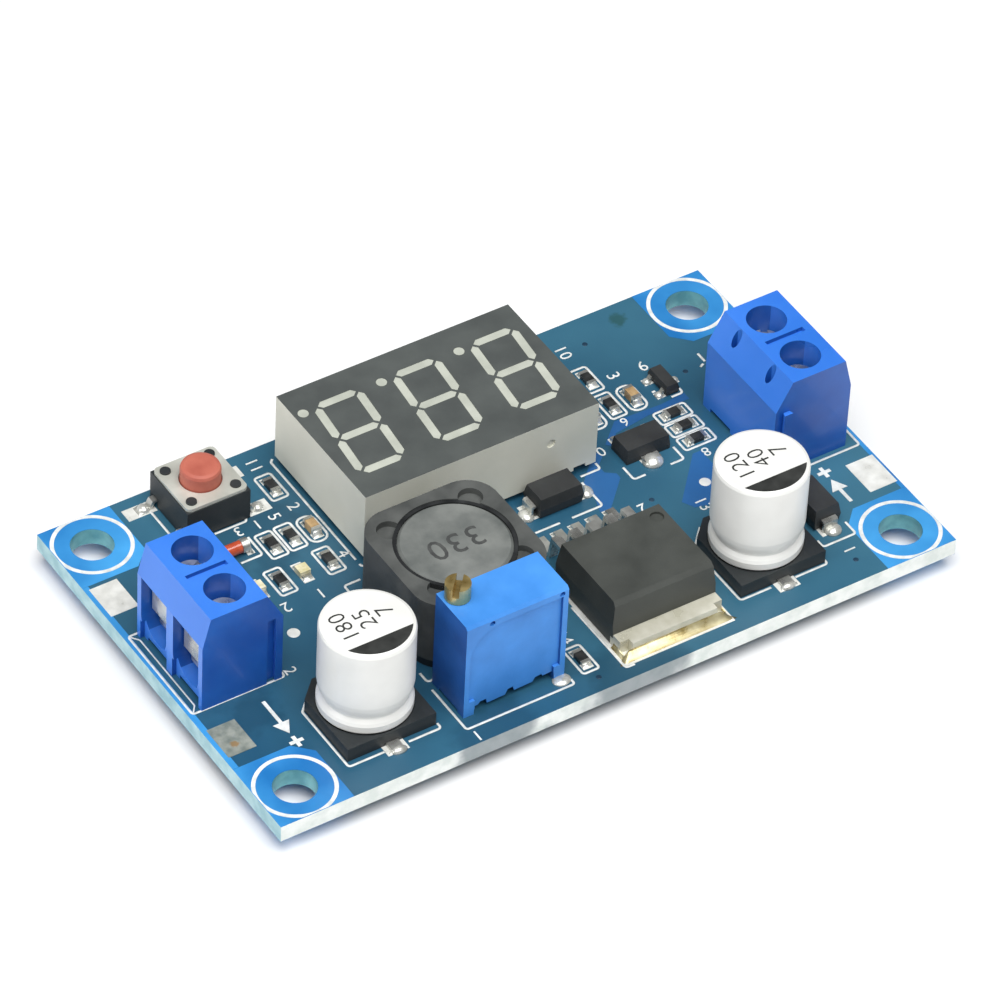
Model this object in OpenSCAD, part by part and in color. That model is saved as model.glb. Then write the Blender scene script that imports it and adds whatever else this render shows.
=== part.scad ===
// Step-down converter board with two screw terminals, a meter and a multi-turn trimmer.
// The board lies flat, component side up, and stands on its soldered pin tails.
// Origin: under the middle of the board, at the tips of the tails. X runs from OUT to IN.

/* [View] */
// Node to draw, or all

/* [Board] */
// Board length along X
board_l = 65; // [64.5:0.5:80]
// Board width along Y
board_w = 38.5; // [38.5:0.5:50]
// Board thickness
board_t = 1.6; // [1:0.1:2.4]
// Length of the pin tails below the board
tail_len = 1.5; // [1.2:0.1:3]
// Radius of the four mounting holes
hole_r = 1.83; // [1.5:0.01:1.9]
// Mounting hole centre to the board's edges
hole_inset = 3.3; // [3:0.1:3.4]

/* [Screw terminals] */
// Spacing of the poles
pole_pitch = 5.08; // [4.9:0.02:5.2]
// Height of a terminal's housing
term_h = 9.85; // [9.4:0.05:11]
// Depth of the housing at its foot, front to back
term_depth = 7.5; // [7.2:0.1:8.4]
// Depth of the flat top
term_top = 5.25; // [4.8:0.05:5.4]
// Height of the vertical front face
term_front_h = 6.9; // [6.7:0.1:7.4]
// Height of the vertical back face
term_back_h = 7.05; // [6.8:0.05:7.6]
// Screw axis behind the front face
well_back = 3.55; // [3.4:0.05:3.8]
// Radius of the screwdriver well
well_r = 1.72; // [1.6:0.02:1.8]
// Side wall of a housing
term_wall = 0.6; // [0.5:0.05:0.75]
// Wall between the two poles
term_mid = 1.05; // [1:0.05:1.2]
// Gap from the OUT terminal's front to the board's short edge
out_gap = 1.2; // [0.8:0.1:1.6]
// Gap from the IN terminal's front to the board's short edge
in_gap = 1.5; // [0.8:0.1:1.6]
// Sheet thickness of the contact frames
frame_t = 0.5; // [0.4:0.05:0.6]
// Screw radius
screw_r = 1.45; // [1.3:0.01:1.5]
// Screw length
screw_len = 3.75; // [3.6:0.05:3.9]
// Depth of the screw's top below the housing's top
screw_drop = 2.3; // [2.2:0.05:2.4]
// Radius of a terminal's pin
term_pin_r = 0.5; // [0.4:0.05:0.6]

/* [Meter display] */
// Display length
disp_l = 22.6; // [22:0.1:24]
// Display width
disp_w = 14; // [13:0.1:15]
// Height of the display's face above the board
disp_top = 7.35; // [6.8:0.05:8]
// Gap below the display's walls
disp_gap = 0.7; // [0.5:0.05:1]
// Wall of the display's housing
disp_wall = 1; // [0.8:0.1:1.2]
// Spacing of the two pin rows
disp_row = 10.16; // [9.6:0.02:10.6]
// Spacing of the pins in a row
pin_pitch = 2.54; // [2.4:0.02:2.6]
// Radius of the thin pins
pin_r = 0.25; // [0.2:0.01:0.3]
// Spacing of the digits
digit_pitch = 7.55; // [7.2:0.05:7.7]
// Height of a digit, bar to bar
digit_h = 8.48; // [8:0.02:9]
// Width of a digit, bar to bar
digit_w = 4; // [3.8:0.05:4.2]
// Width of a segment
seg_w = 0.76; // [0.6:0.02:0.9]
// Lean of the digits in degrees
digit_lean = 5.6; // [0:0.1:8]
// Depth of the segment lenses
lens_t = 0.5; // [0.3:0.05:0.8]

/* [Inductor] */
// Side of the square shield
ind_l = 12.2; // [11.6:0.1:12.6]
// Height of the inductor
ind_h = 7.2; // [6.8:0.1:8]
// Corner radius of the shield
ind_r = 2.8; // [2:0.1:3.2]
// Radius of the shield's bore
ind_bore_r = 5.1; // [4.9:0.05:5.3]
// Gap between drum and shield
ind_gap = 0.35; // [0.25:0.05:0.5]

/* [Capacitors] */
// Can radius
can_r = 3.97; // [3.7:0.01:4.1]
// Height of a capacitor
cap_h = 10; // [9:0.1:11]
// Side of the square base
cap_base = 8.3; // [8.3:0.05:8.6]
// Thickness of the base
cap_base_h = 1.35; // [1.1:0.05:1.6]

/* [Regulator] */
// Width of the regulator's body
reg_w = 10; // [9.6:0.1:10.4]
// Length of the regulator's body
reg_l = 8.6; // [8.2:0.1:9]
// Height of the regulator's body
reg_h = 4.5; // [4.2:0.05:4.8]
// Thickness of the heat tab
tab_t = 1.3; // [1.1:0.05:1.5]
// Length of the tab beyond the body
tab_out = 1.6; // [1.2:0.05:1.8]
// Spacing of the five leads
reg_pitch = 1.7; // [1.6:0.02:1.75]
// Reach of the leads beyond the body
reg_lead = 4.75; // [4.4:0.05:5.2]

/* [Trimmer] */
// Trimmer length along X
trim_l = 9.6; // [9.2:0.05:9.9]
// Trimmer width along Y
trim_w = 4.7; // [4.5:0.05:5]
// Height of the trimmer's top above the board
trim_h = 10; // [9.4:0.05:10.6]
// Height of the stand-off feet
trim_foot = 1.05; // [0.9:0.05:1.3]
// Radius of the brass screw's head
trim_screw_r = 1.08; // [0.9:0.01:1.15]
// Height of the screw's head
trim_screw_h = 1.55; // [1.2:0.05:1.8]

/* [Push button] */
// Side of the square switch
sw_l = 6; // [5.8:0.05:6.2]
// Height of the switch's metal cover
sw_h = 3.5; // [3.2:0.05:3.8]
// Radius of the plunger
plunger_r = 1.72; // [1.5:0.01:1.75]
// Height of the plunger's top above the board
plunger_top = 5; // [4.5:0.05:6]

/* [Small parts] */
// Length of a power diode's body
diode_l = 4.3; // [4:0.05:4.6]
// Width of a power diode's body
diode_w = 2.6; // [2.4:0.05:2.8]
// Height of a power diode
diode_h = 2.1; // [1.9:0.05:2.4]
// Length of the small regulator's body
reg89_l = 4.3; // [4.1:0.05:4.6]
// Width of the small regulator's body
reg89_w = 2.4; // [2.3:0.05:2.6]
// Length of a chip part
chip_l = 1.62; // [1.5:0.02:1.7]
// Width of a chip part
chip_w = 0.82; // [0.7:0.02:0.9]
// Radius of the glass diode's caps
glass_r = 0.62; // [0.5:0.01:0.7]

/* [Hidden] */
$fn = 64;
clr = 0.1;
run = 0.05;
seat = 0.02;
zt = tail_len + board_t;
hole_x = board_l / 2 - hole_inset;
hole_y = board_w / 2 - hole_inset;

// Screw terminals
term_w = 2 * pole_pitch;
pocket_w = (term_w - term_mid - 2 * term_wall) / 2;
pole_y = (pocket_w + term_mid) / 2;
out_x = -board_l / 2 + out_gap + well_back;
in_x = board_l / 2 - in_gap - well_back;
out_y = 0.04;
in_y = -0.15;
floor_h = 0.85;
frame_w = pocket_w - 2 * clr;
frame_z = floor_h + 0.8;
plate_t = 0.7;
plate_z = term_front_h - plate_t;
frame_back = term_depth - well_back - 1.35;
frame_front = -well_back + 1.45;
leaf_t = 0.5;
leaf_front = -well_back + 0.9;
leaf_top = term_front_h - 1.4;
screw_z = term_h - screw_drop - screw_len;
leaf_z = screw_z - run - leaf_t;
dove_x = term_depth - well_back - 1.05;

// Meter display
disp_x = 0.14;
disp_y = 9.97;
pins6 = [for (i = [0:5]) [disp_x + (i - 2.5) * pin_pitch, disp_y - disp_row / 2]];
pins5 = [for (i = [1:5]) [disp_x + (i - 2.5) * pin_pitch, disp_y + disp_row / 2]];
disp_pins_at = concat(pins6, pins5);
board_in = 1.7;

// Inductor
ind_x = -7.55;
ind_y = -4.95;
ind_base_h = 0.9;
drum_r = ind_bore_r - ind_gap;

// Capacitors
caps_at = [[-20.05, -11.6], [17.45, -11.85]];
lead_w = 1.1;

// Regulator
reg_x = 6.1;
reg_y = -11.15;
reg_front = reg_y - reg_l / 2;
reg_back = reg_y + reg_l / 2;

// Trimmer
trim_x = -8.86;
trim_y = -13.93;
trim_pins_at = [for (i = [-1:1]) [trim_x + i * pin_pitch, trim_y - 0.58]];
trim_screw_at = [trim_x - trim_l / 2 + 1.3, trim_y + trim_w / 2 - 1.15];
trim_bore_r = 0.8;
trim_shank = 3;
torn_edge = [
    [0.09, 1.1], [0.1, 0.5], [0.16, 0.55], [0.18, 0.78], [0.24, 0.8], [0.25, 0.32], [0.43, 0.38],
    [0.455, 0.86], [0.505, 0.9], [0.52, 0.46], [0.7, 0.52], [0.725, 0.9], [0.79, 0.95],
    [0.8, 0.72], [0.9, 0.78], [0.91, 1.1]
];

// Places between the terminals and the display, as a share of the way from left to right
out_back = out_x + term_depth - well_back;
in_back = in_x - term_depth + well_back;
function by_out(t) = out_back + t * (disp_x - disp_l / 2 - out_back);
function by_in(t) = disp_x + disp_l / 2 + t * (in_back - disp_x - disp_l / 2);

// Push button
sw_x = by_out(0.348);
sw_y = 15.2;
cover_t = 0.3;
travel = 0.25;

// Small parts: centre x, centre y, turn
resistors_at = [
    [by_out(0.854), 14.45, 90], [by_out(0.574), 8.55, 90], [by_out(0.72), 8.6, 90],
    [by_out(0.447), 4.5, 90], [by_out(0.819), 4.65, 90],
    [by_in(0.436), 12.3, 90], [by_in(0.432), 8.7, 90], [by_in(0.764), 5.2, 0],
    [by_in(0.764), 3.45, 0], [by_in(0.764), 1.65, 0],
    [trim_x + trim_l / 2 + 2.21, -15.4, 90]
];
ceramics_at = [[by_out(0.878), 8.5, 90], [by_in(0.606), 8.6, 90], [by_in(0.254), 8.3, 90]];
leds_at = [[by_out(0.613), 4.5, 90], [by_out(0.281), 4.6, 90]];
glass_at = [by_out(0.281), 9.15, 0];
diodes_at = [[6.15, 1.2, 0], [caps_at[1][0] + cap_base / 2 + 2.5, -10.5, 90]];
reg89_at = [by_in(0.378), 3.05, 0];
sot23_at = [in_back - 1.55, 8.65, 0];
chip_at = [disp_x, disp_y, 0];
chip_end = 0.3;

// Puts a piece on the board's top face
module on_board(p) {
    translate([p[0], p[1], zt]) rotate([0, 0, p[2]]) children();
}

// Extrudes a profile drawn in X and Z along Y, centred
module along_y(w) {
    rotate([90, 0, 0]) linear_extrude(height = w, center = true) children();
}

// Extrudes a profile drawn in Y and Z along X, centred
module along_x(w) {
    rotate([90, 0, 90]) linear_extrude(height = w, center = true) children();
}

// Moulded block: widest at its parting line, drafted above and below
module moulded(l, w, z0, z1, part, draft, low = 0.1) {
    intersection() {
        along_y(w) polygon([
            [-l / 2 + low, z0], [l / 2 - low, z0], [l / 2, part],
            [l / 2 - draft, z1], [-l / 2 + draft, z1], [-l / 2, part]]);
        along_x(l) polygon([
            [-w / 2 + low, z0], [w / 2 - low, z0], [w / 2, part],
            [w / 2 - draft, z1], [-w / 2 + draft, z1], [-w / 2, part]]);
    }
}

// Gull-wing lead in Y and Z: root at the body, foot on the board
module gull(root, top, reach, foot, t) {
    polygon([
        [root, top], [root, top - t], [reach - foot - 0.35, top - t],
        [reach - foot, 0], [reach, 0], [reach, t], [reach - foot + 0.25, t],
        [reach - foot - 0.1, top]]);
}

// Filleted square made of exact arcs
module soft_square(l, w, r) {
    union() {
        square([l - 2 * r, w], center = true);
        square([l, w - 2 * r], center = true);
        for (x = [-1, 1], y = [-1, 1])
            translate([x * (l / 2 - r), y * (w / 2 - r)]) circle(r);
    }
}

// ---- Board ----

module pcb() color([0.1, 0.36, 0.6]) {
    translate([0, 0, tail_len]) difference() {
        translate([-board_l / 2, -board_w / 2, 0]) cube([board_l, board_w, board_t]);
        for (x = [-1, 1], y = [-1, 1])
            translate([x * hole_x, y * hole_y, -1]) cylinder(r = hole_r, h = board_t + 2);
        for (p = concat(disp_pins_at, trim_pins_at))
            translate([p[0], p[1], -1]) cylinder(r = pin_r + clr, h = board_t + 2);
        for (p = term_pins_at())
            translate([p[0], p[1], -1]) cylinder(r = term_pin_r + clr, h = board_t + 2);
    }
}

function term_pins_at() = [
    [out_x, out_y + pole_y], [out_x, out_y - pole_y],
    [in_x, in_y + pole_y], [in_x, in_y - pole_y]];

// Solder cone under the board, open round its pin
module solder_cone(r, pr, h) {
    translate([0, 0, tail_len - h]) rotate_extrude()
        polygon([
            [pr + seat, 0], [pr + 0.12, 0], [pr + 0.25 * (r - pr), 0.45 * h],
            [pr + 0.6 * (r - pr), 0.8 * h], [r, h], [pr + seat, h]]);
}

module solder_joints() color([0.8, 0.8, 0.78]) {
    for (p = concat(disp_pins_at, trim_pins_at))
        translate([p[0], p[1], 0]) solder_cone(0.85, pin_r, 0.85);
    for (p = term_pins_at())
        translate([p[0], p[1], 0]) solder_cone(1.28, term_pin_r, 1);
}

// ---- Screw terminals: front towards -X, screw axes at x = 0 ----

module term_profile() {
    back = term_depth - well_back;
    top0 = -well_back + 0.75;
    polygon([
        [-well_back, 0], [-well_back, term_front_h], [top0, term_h],
        [top0 + term_top, term_h], [back, term_back_h], [back, 0]]);
}

// Outline of a wire entry: round floor, straight sides
module entry_outline(w, top) {
    union() {
        translate([0, floor_h + w / 2]) circle(d = w);
        translate([-w / 2, floor_h + w / 2]) square([w, top - floor_h - w / 2]);
    }
}

module terminal_housing() {
    back = term_depth - well_back;
    pocket_end = frame_back + clr;
    difference() {
        union() {
            along_y(term_w) term_profile();
            // interlocking rib on one side
            translate([0, term_w / 2, 0]) linear_extrude(height = term_front_h - 0.1)
                polygon([
                    [dove_x - 0.3, 0], [dove_x + 0.3, 0], [dove_x + 0.42, 0.4],
                    [dove_x - 0.42, 0.4]]);
        }
        // matching groove on the other side
        translate([0, -term_w / 2, -1]) linear_extrude(height = term_front_h + 1.1)
            polygon([
                [dove_x - 0.38, -1], [dove_x + 0.38, -1], [dove_x + 0.38, 0],
                [dove_x + 0.48, 0.45], [dove_x - 0.48, 0.45], [dove_x - 0.38, 0]]);
        for (s = [-1, 1]) translate([0, s * pole_y, 0]) {
            // wire entry and inner chamber
            translate([(pocket_end - well_back - 1) / 2, 0, 0])
                along_x(pocket_end + well_back + 1) entry_outline(pocket_w, term_front_h);
            // screwdriver well
            translate([0, 0, term_front_h - 1]) cylinder(r = well_r, h = term_h);
            // pin slot in the floor
            translate([0, 0, -1]) cylinder(r = term_pin_r + clr, h = floor_h + 3);
            // probe hole in the back slope
            translate([back - 1.05, 0, term_back_h + 0.25]) cylinder(r = 0.42, h = term_h);
            // set-back sill below the entry
            translate([-well_back - 1, -pocket_w / 2 - 0.1, -1])
                cube([1.4, pocket_w + 0.2, floor_h + 2.2]);
            // open foot
            translate([-well_back - 1, -pocket_w / 2 + 0.5, -1])
                cube([term_depth + 2, pocket_w - 1, 1.4]);
        }
        // groove between the wells
        translate([-2.05, -0.25, term_h - 0.4]) cube([3.75, 0.5, 1]);
    }
}

// Contact frame: bent strip with a threaded top plate, and its pin
module contact_frame() {
    low_w = frame_w - 0.8;
    union() {
        difference() {
            along_y(frame_w) polygon([
                [frame_front, plate_z], [frame_back - frame_t, plate_z],
                [frame_back - frame_t, frame_z + 1.2], [frame_back, frame_z + 1.2],
                [frame_back, plate_z + plate_t - seat], [frame_front, plate_z + plate_t - seat]]);
            translate([0, 0, plate_z - 1]) cylinder(r = screw_r + run, h = 3);
        }
        along_y(low_w) polygon([
            [frame_front, frame_z], [frame_back, frame_z], [frame_back, frame_z + 1.4],
            [frame_back - frame_t, frame_z + 1.4], [frame_back - frame_t, frame_z + frame_t],
            [frame_front, frame_z + frame_t]]);
        translate([0, 0, -zt]) cylinder(r = term_pin_r, h = zt + frame_z + 0.2);
    }
}

// Pressure leaf below the screw, turned up at the wire entry
module pressure_leaf() {
    x1 = frame_back - frame_t - 0.12;
    along_y(frame_w - 0.25) polygon([
        [leaf_front, leaf_z], [x1, leaf_z], [x1, leaf_z + leaf_t],
        [leaf_front + 0.3, leaf_z + leaf_t], [leaf_front + 0.3, leaf_top],
        [leaf_front, leaf_top]]);
}

// Headless clamp screw with a slot and a chamfered top
module clamp_screw() {
    translate([0, 0, screw_z]) difference() {
        rotate_extrude() polygon([
            [0, 0], [screw_r - 0.3, 0], [screw_r, 0.3], [screw_r, screw_len - 0.15],
            [screw_r - 0.15, screw_len], [0, screw_len]]);
        translate([-2, -0.3, screw_len - 0.7]) cube([4, 0.6, 2]);
    }
}

module at_out(s) { translate([out_x, out_y + s * pole_y, zt]) children(); }
module at_in(s) { translate([in_x, in_y + s * pole_y, zt]) rotate([0, 0, 180]) children(); }

module out_terminal_housing() color([0.12, 0.42, 0.85])
    translate([out_x, out_y, zt]) terminal_housing();
module in_terminal_housing() color([0.12, 0.42, 0.85])
    translate([in_x, in_y, zt]) rotate([0, 0, 180]) terminal_housing();
module out_contact_frames() color([0.8, 0.78, 0.72]) for (s = [-1, 1]) at_out(s) contact_frame();
module in_contact_frames() color([0.8, 0.78, 0.72]) for (s = [-1, 1]) at_in(s) contact_frame();
module out_minus_leaf() color([0.75, 0.75, 0.75]) at_out(1) pressure_leaf();
module out_plus_leaf() color([0.75, 0.75, 0.75]) at_out(-1) pressure_leaf();
module in_minus_leaf() color([0.75, 0.75, 0.75]) at_in(1) pressure_leaf();
module in_plus_leaf() color([0.75, 0.75, 0.75]) at_in(-1) pressure_leaf();
module out_minus_screw() color([0.7, 0.72, 0.75]) at_out(1) rotate([0, 0, 25]) clamp_screw();
module out_plus_screw() color([0.7, 0.72, 0.75]) at_out(-1) rotate([0, 0, -35]) clamp_screw();
module in_minus_screw() color([0.7, 0.72, 0.75]) at_in(1) rotate([0, 0, 60]) clamp_screw();
module in_plus_screw() color([0.7, 0.72, 0.75]) at_in(-1) rotate([0, 0, -10]) clamp_screw();

// ---- Meter display ----

// Segment with mitred ends, lying along X
module bar(l, w) {
    polygon([
        [-l / 2, 0], [-l / 2 + w / 2, -w / 2], [l / 2 - w / 2, -w / 2],
        [l / 2, 0], [l / 2 - w / 2, w / 2], [-l / 2 + w / 2, w / 2]]);
}

// One leaning digit and its point
module digit(grow = 0) {
    w = seg_w + 2 * grow;
    gap = 0.16 - grow;
    half = digit_h / 2;
    multmatrix([[1, tan(digit_lean), 0, 0], [0, 1, 0, 0], [0, 0, 1, 0], [0, 0, 0, 1]]) {
        for (y = [-half, 0, half]) translate([0, y]) bar(digit_w - 2 * gap, w);
        for (x = [-1, 1], y = [-1, 1])
            translate([x * digit_w / 2, y * half / 2]) rotate(90) bar(half - 2 * gap, w);
    }
    translate([-2.9, half - 0.12]) circle(r = seg_w * 0.63 + grow);
}

module digits(grow = 0) {
    for (i = [-1:1]) translate([i * digit_pitch, 0]) digit(grow);
}

module display_housing() color([0.86, 0.86, 0.8]) translate([disp_x, disp_y, zt]) {
    difference() {
        translate([-disp_l / 2, -disp_w / 2, disp_gap]) cube([disp_l, disp_w, disp_top - disp_gap]);
        // open underside
        translate([-disp_l / 2 + disp_wall, -disp_w / 2 + disp_wall, 0])
            cube([disp_l - 2 * disp_wall, disp_w - 2 * disp_wall, disp_gap + board_in + 0.8]);
        // segment windows
        translate([0, 0, disp_top - lens_t]) linear_extrude(height = 1) digits();
        // moulding gate on the front wall
        translate([disp_l / 2 - 4.6, -disp_w / 2 - 1, 4.9]) rotate([-90, 0, 0]) cylinder(r = 0.42, h = 1.15);
        // notches in the lower edge
        translate([disp_l / 2 - 2.2, -disp_w / 2 - 1, 0]) cube([1.2, 1.6, disp_gap + 0.35]);
        translate([-disp_l / 2 + 1, -disp_w / 2 - 1, 0]) cube([1.2, 1.6, disp_gap + 0.35]);
    }
}

module display_segments() color([0.8, 0.8, 0.76]) translate([disp_x, disp_y, zt + disp_top - lens_t])
    linear_extrude(height = lens_t) digits(-0.02);

// Small circuit board potted into the housing's underside
module display_substrate() color([0.35, 0.4, 0.3]) translate([0, 0, zt + disp_gap + board_in])
    difference() {
        translate([disp_x - disp_l / 2 + disp_wall + seat, disp_y - disp_w / 2 + disp_wall + seat, 0])
            cube([disp_l - 2 * (disp_wall + seat), disp_w - 2 * (disp_wall + seat), 0.8 - seat]);
        for (p = disp_pins_at)
            translate([p[0], p[1], -1]) cylinder(r = pin_r + seat, h = 3);
    }

module display_pins() color([0.8, 0.8, 0.76])
    for (p = disp_pins_at) translate([p[0], p[1], 0])
        cylinder(r = pin_r, h = zt + disp_gap + board_in + 0.75);

// Thin 20-lead chip between the pin rows
module meter_chip() color([0.12, 0.12, 0.13]) on_board(chip_at) moulded(6.5, 4.4, 0.1, 1.05, 0.55, 0.1);
module meter_chip_leads() color([0.75, 0.75, 0.75]) on_board(chip_at)
    for (i = [0:9], s = [-1, 1]) translate([(i - 4.5) * 0.65, 0, 0]) rotate([0, 0, s > 0 ? 0 : 180])
        along_x(0.24) gull(2.2, 0.62, 3.2, 0.45, 0.14);

// ---- Inductor ----

module inductor_shield() color([0.2, 0.2, 0.21]) translate([ind_x, ind_y, zt + ind_base_h]) difference() {
    linear_extrude(height = ind_h - ind_base_h) soft_square(ind_l, ind_l, ind_r);
    translate([0, 0, -1]) cylinder(r = ind_bore_r, h = ind_h + 2);
    // glue pockets in the corners
    for (a = [45:90:315]) rotate([0, 0, a])
        translate([ind_bore_r + 0.4, 0, ind_h - ind_base_h - 0.6]) cylinder(r = 1.05, h = 2);
}

module inductor_drum() color([0.3, 0.3, 0.31]) translate([ind_x, ind_y, zt + ind_base_h])
    rotate_extrude() polygon([
        [0, 0], [drum_r, 0], [drum_r, 1.1], [2.6, 1.3], [2.6, ind_h - ind_base_h - 1.4],
        [drum_r, ind_h - ind_base_h - 1.2], [drum_r, ind_h - ind_base_h - 0.25],
        [drum_r - 0.25, ind_h - ind_base_h], [0, ind_h - ind_base_h]]);

// Layered winding between the flanges
module inductor_winding() color([0.72, 0.4, 0.2]) translate([ind_x, ind_y, zt + ind_base_h]) {
    z0 = 1.42;
    z1 = ind_h - ind_base_h - 1.52;
    n = 6;
    d = (z1 - z0) / n;
    rotate_extrude() union() {
        translate([2.7, z0]) square([1.5, z1 - z0]);
        for (i = [0:n - 1]) translate([4.2, z0 + (i + 0.5) * d]) circle(d = d);
    }
}

module inductor_glue() color([0.12, 0.12, 0.12])
    translate([ind_x, ind_y, zt + ind_h - 0.7]) difference() {
        cylinder(r = ind_bore_r - seat, h = 0.6);
        translate([0, 0, -1]) cylinder(r = drum_r + seat, h = 3);
    }

module inductor_base() color([0.1, 0.1, 0.1]) translate([ind_x, ind_y, zt]) difference() {
    linear_extrude(height = ind_base_h) soft_square(ind_l - 0.4, ind_l - 0.4, ind_r - 0.2);
    for (s = [-1, 1]) translate([s * (ind_l / 2 - 1.4), 0, 0])
        cube([2.9, 5.2, 0.5], center = true);
}

module inductor_terminals() color([0.8, 0.8, 0.76]) translate([ind_x, ind_y, zt])
    for (s = [-1, 1]) translate([s * (ind_l / 2 - 1.35), 0, 0.12])
        cube([2.7, 5, 0.24], center = true);

// ---- Capacitors ----

// Rolled can with a bead groove near its foot
module can() {
    rotate_extrude() polygon([
        [0, cap_base_h - 0.35], [can_r - 0.55, cap_base_h - 0.35], [can_r - 0.2, cap_base_h - 0.15],
        [can_r, cap_base_h + 0.15], [can_r, cap_base_h + 0.75], [can_r - 0.14, cap_base_h + 1],
        [can_r - 0.42, cap_base_h + 1.3], [can_r - 0.42, cap_base_h + 1.55],
        [can_r - 0.2, cap_base_h + 1.9], [can_r - 0.07, cap_base_h + 2.3],
        [can_r, cap_base_h + 2.8], [can_r, cap_h - 0.35],
        [can_r - 0.1, cap_h - 0.1], [can_r - 0.35, cap_h], [0, cap_h]]);
}

// Moulded base: square, with two corners cut off at the back, recessed for the can
module cap_foot() {
    h = cap_base / 2;
    c = 1.7;
    difference() {
        linear_extrude(height = cap_base_h) polygon([
            [-h, -h], [h, -h], [h, h - c], [h - c, h], [-h + c, h], [-h, h - c]]);
        translate([0, 0, cap_base_h - 0.35]) cylinder(r = can_r + 0.03, h = 2);
        for (s = [-1, 1]) translate([0, s * (h - 1), 0])
            cube([lead_w + 0.1, 2.4, 0.7], center = true);
    }
}

module capacitor_cans() color([0.9, 0.9, 0.9]) for (p = caps_at) translate([p[0], p[1], zt]) can();
module capacitor_bases() color([0.12, 0.12, 0.13]) for (p = caps_at) translate([p[0], p[1], zt]) cap_foot();
module capacitor_leads() color([0.8, 0.8, 0.76]) for (p = caps_at, s = [-1, 1])
    translate([p[0], p[1] + s * (cap_base / 2 - 0.6), zt + 0.15])
        cube([lead_w, 3, 0.3], center = true);

// ---- Regulator ----

// Tab with a small square notch in each outer corner
module tab_plate(grow = 0) {
    notch = [0.85, 0.6];
    w = reg_w - 0.1 + 2 * grow;
    y0 = -reg_l / 2 - tab_out;
    translate([0, 0, -grow]) linear_extrude(height = tab_t + 2 * grow) polygon([
        [-w / 2, y0 + notch[1]], [-w / 2 + notch[0], y0 + notch[1]], [-w / 2 + notch[0], y0],
        [w / 2 - notch[0], y0], [w / 2 - notch[0], y0 + notch[1]], [w / 2, y0 + notch[1]],
        [w / 2, -reg_l / 2 + 0.4], [w / 2 - 1, -reg_l / 2 + 1.2], [w / 2 - 1, reg_l / 2 - 1.6],
        [-w / 2 + 1, reg_l / 2 - 1.6], [-w / 2 + 1, -reg_l / 2 + 1.2], [-w / 2, -reg_l / 2 + 0.4]]);
}

module regulator_body() color([0.2, 0.2, 0.21]) translate([reg_x, reg_y, zt]) difference() {
    intersection() {
        along_y(reg_l + 1) polygon([
            [-reg_w / 2 + 0.05, 0.1], [reg_w / 2 - 0.05, 0.1], [reg_w / 2, tab_t + 0.9],
            [reg_w / 2 - 0.28, reg_h], [-reg_w / 2 + 0.28, reg_h], [-reg_w / 2, tab_t + 0.9]]);
        along_x(reg_w + 1) polygon([
            [-reg_l / 2 + 0.1, 0.1], [reg_l / 2 - 0.1, 0.1], [reg_l / 2, tab_t + 0.9],
            [reg_l / 2 - 0.3, reg_h], [-reg_l / 2 + 0.6, reg_h], [-reg_l / 2 + 0.24, reg_h - 0.38],
            [-reg_l / 2, tab_t]]);
    }
    tab_plate(seat);
    // dimple at the first lead's corner
    translate([reg_w / 2 - 1.25, reg_l / 2 - 1.5, reg_h - 0.25]) cylinder(r = 0.6, h = 1);
}

module regulator_tab() color([0.75, 0.75, 0.73]) translate([reg_x, reg_y, zt]) tab_plate();

module regulator_leads() color([0.78, 0.78, 0.75]) for (i = [-2:2])
    translate([reg_x + i * reg_pitch, reg_y, zt])
        along_x(0.82) gull(reg_l / 2 + seat, tab_t + 1.1, reg_l / 2 + reg_lead, 2.1, 0.42);

// ---- Trimmer ----

module trimmer_body() color([0.25, 0.55, 0.95]) translate([trim_x, trim_y, zt]) difference() {
    l = trim_l / 2;
    w = trim_w / 2;
    union() {
        translate([0, 0, trim_foot]) intersection() {
            translate([-l, -w, 0]) cube([trim_l, trim_w, trim_h - trim_foot]);
            along_x(trim_l + 1) polygon([
                [-w, 0], [w, 0], [w, trim_h - trim_foot], [-w + 0.25, trim_h - trim_foot],
                [-w, trim_h - trim_foot - 0.25]]);
        }
        for (x = [-1, 1], y = [-1, 1])
            translate([x * (l - 0.5) - 0.5, y * (w - 0.45) - 0.45, 0])
                cube([1, 0.9, trim_foot + 0.1]);
        // end walls stop just above the board
        for (x = [-1, 1]) translate([x * (l - 0.3) - 0.3, -w + 0.05, 0.25])
            cube([0.6, trim_w - 0.1, trim_foot]);
        // torn lower edge of the front wall
        translate([-l, -w + 0.6, 0]) rotate([90, 0, 0]) linear_extrude(height = 0.6)
            polygon([for (p = torn_edge) [p[0] * trim_l, p[1] * trim_foot]]);
    }
    // recessed front panel with a rounded upper left corner
    translate([-l, -w - 1 + 0.28, 0]) rotate([90, 0, 0]) mirror([0, 0, 1])
        linear_extrude(height = 1) union() {
            translate([1.05, -1]) square([trim_l - 2.1, 2.6]);
            translate([0.45, 1.5]) square([trim_l - 0.95, trim_h - 5.35]);
            translate([3.45, 1.5]) square([trim_l - 3.95, trim_h - 2.35]);
            translate([3.45, trim_h - 3.85]) circle(r = 3);
        }
    // moulding dimples
    for (x = [2.4, trim_l - 0.6]) translate([x - l, -w - 1, trim_h - 0.55]) rotate([-90, 0, 0])
        cylinder(r = 0.25, h = 1.35);
    // screw bore
    translate([trim_screw_at[0] - trim_x, trim_screw_at[1] - trim_y, trim_h - trim_shank - 0.3])
        cylinder(r = trim_bore_r, h = 6);
}

module trimmer_pins() color([0.8, 0.8, 0.76]) for (i = [0:2])
    translate([trim_pins_at[i][0], trim_pins_at[i][1], i == 0 ? 0 : 0.95])
        cylinder(r = pin_r, h = zt + trim_foot - (i == 0 ? 0 : 0.95));

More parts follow.
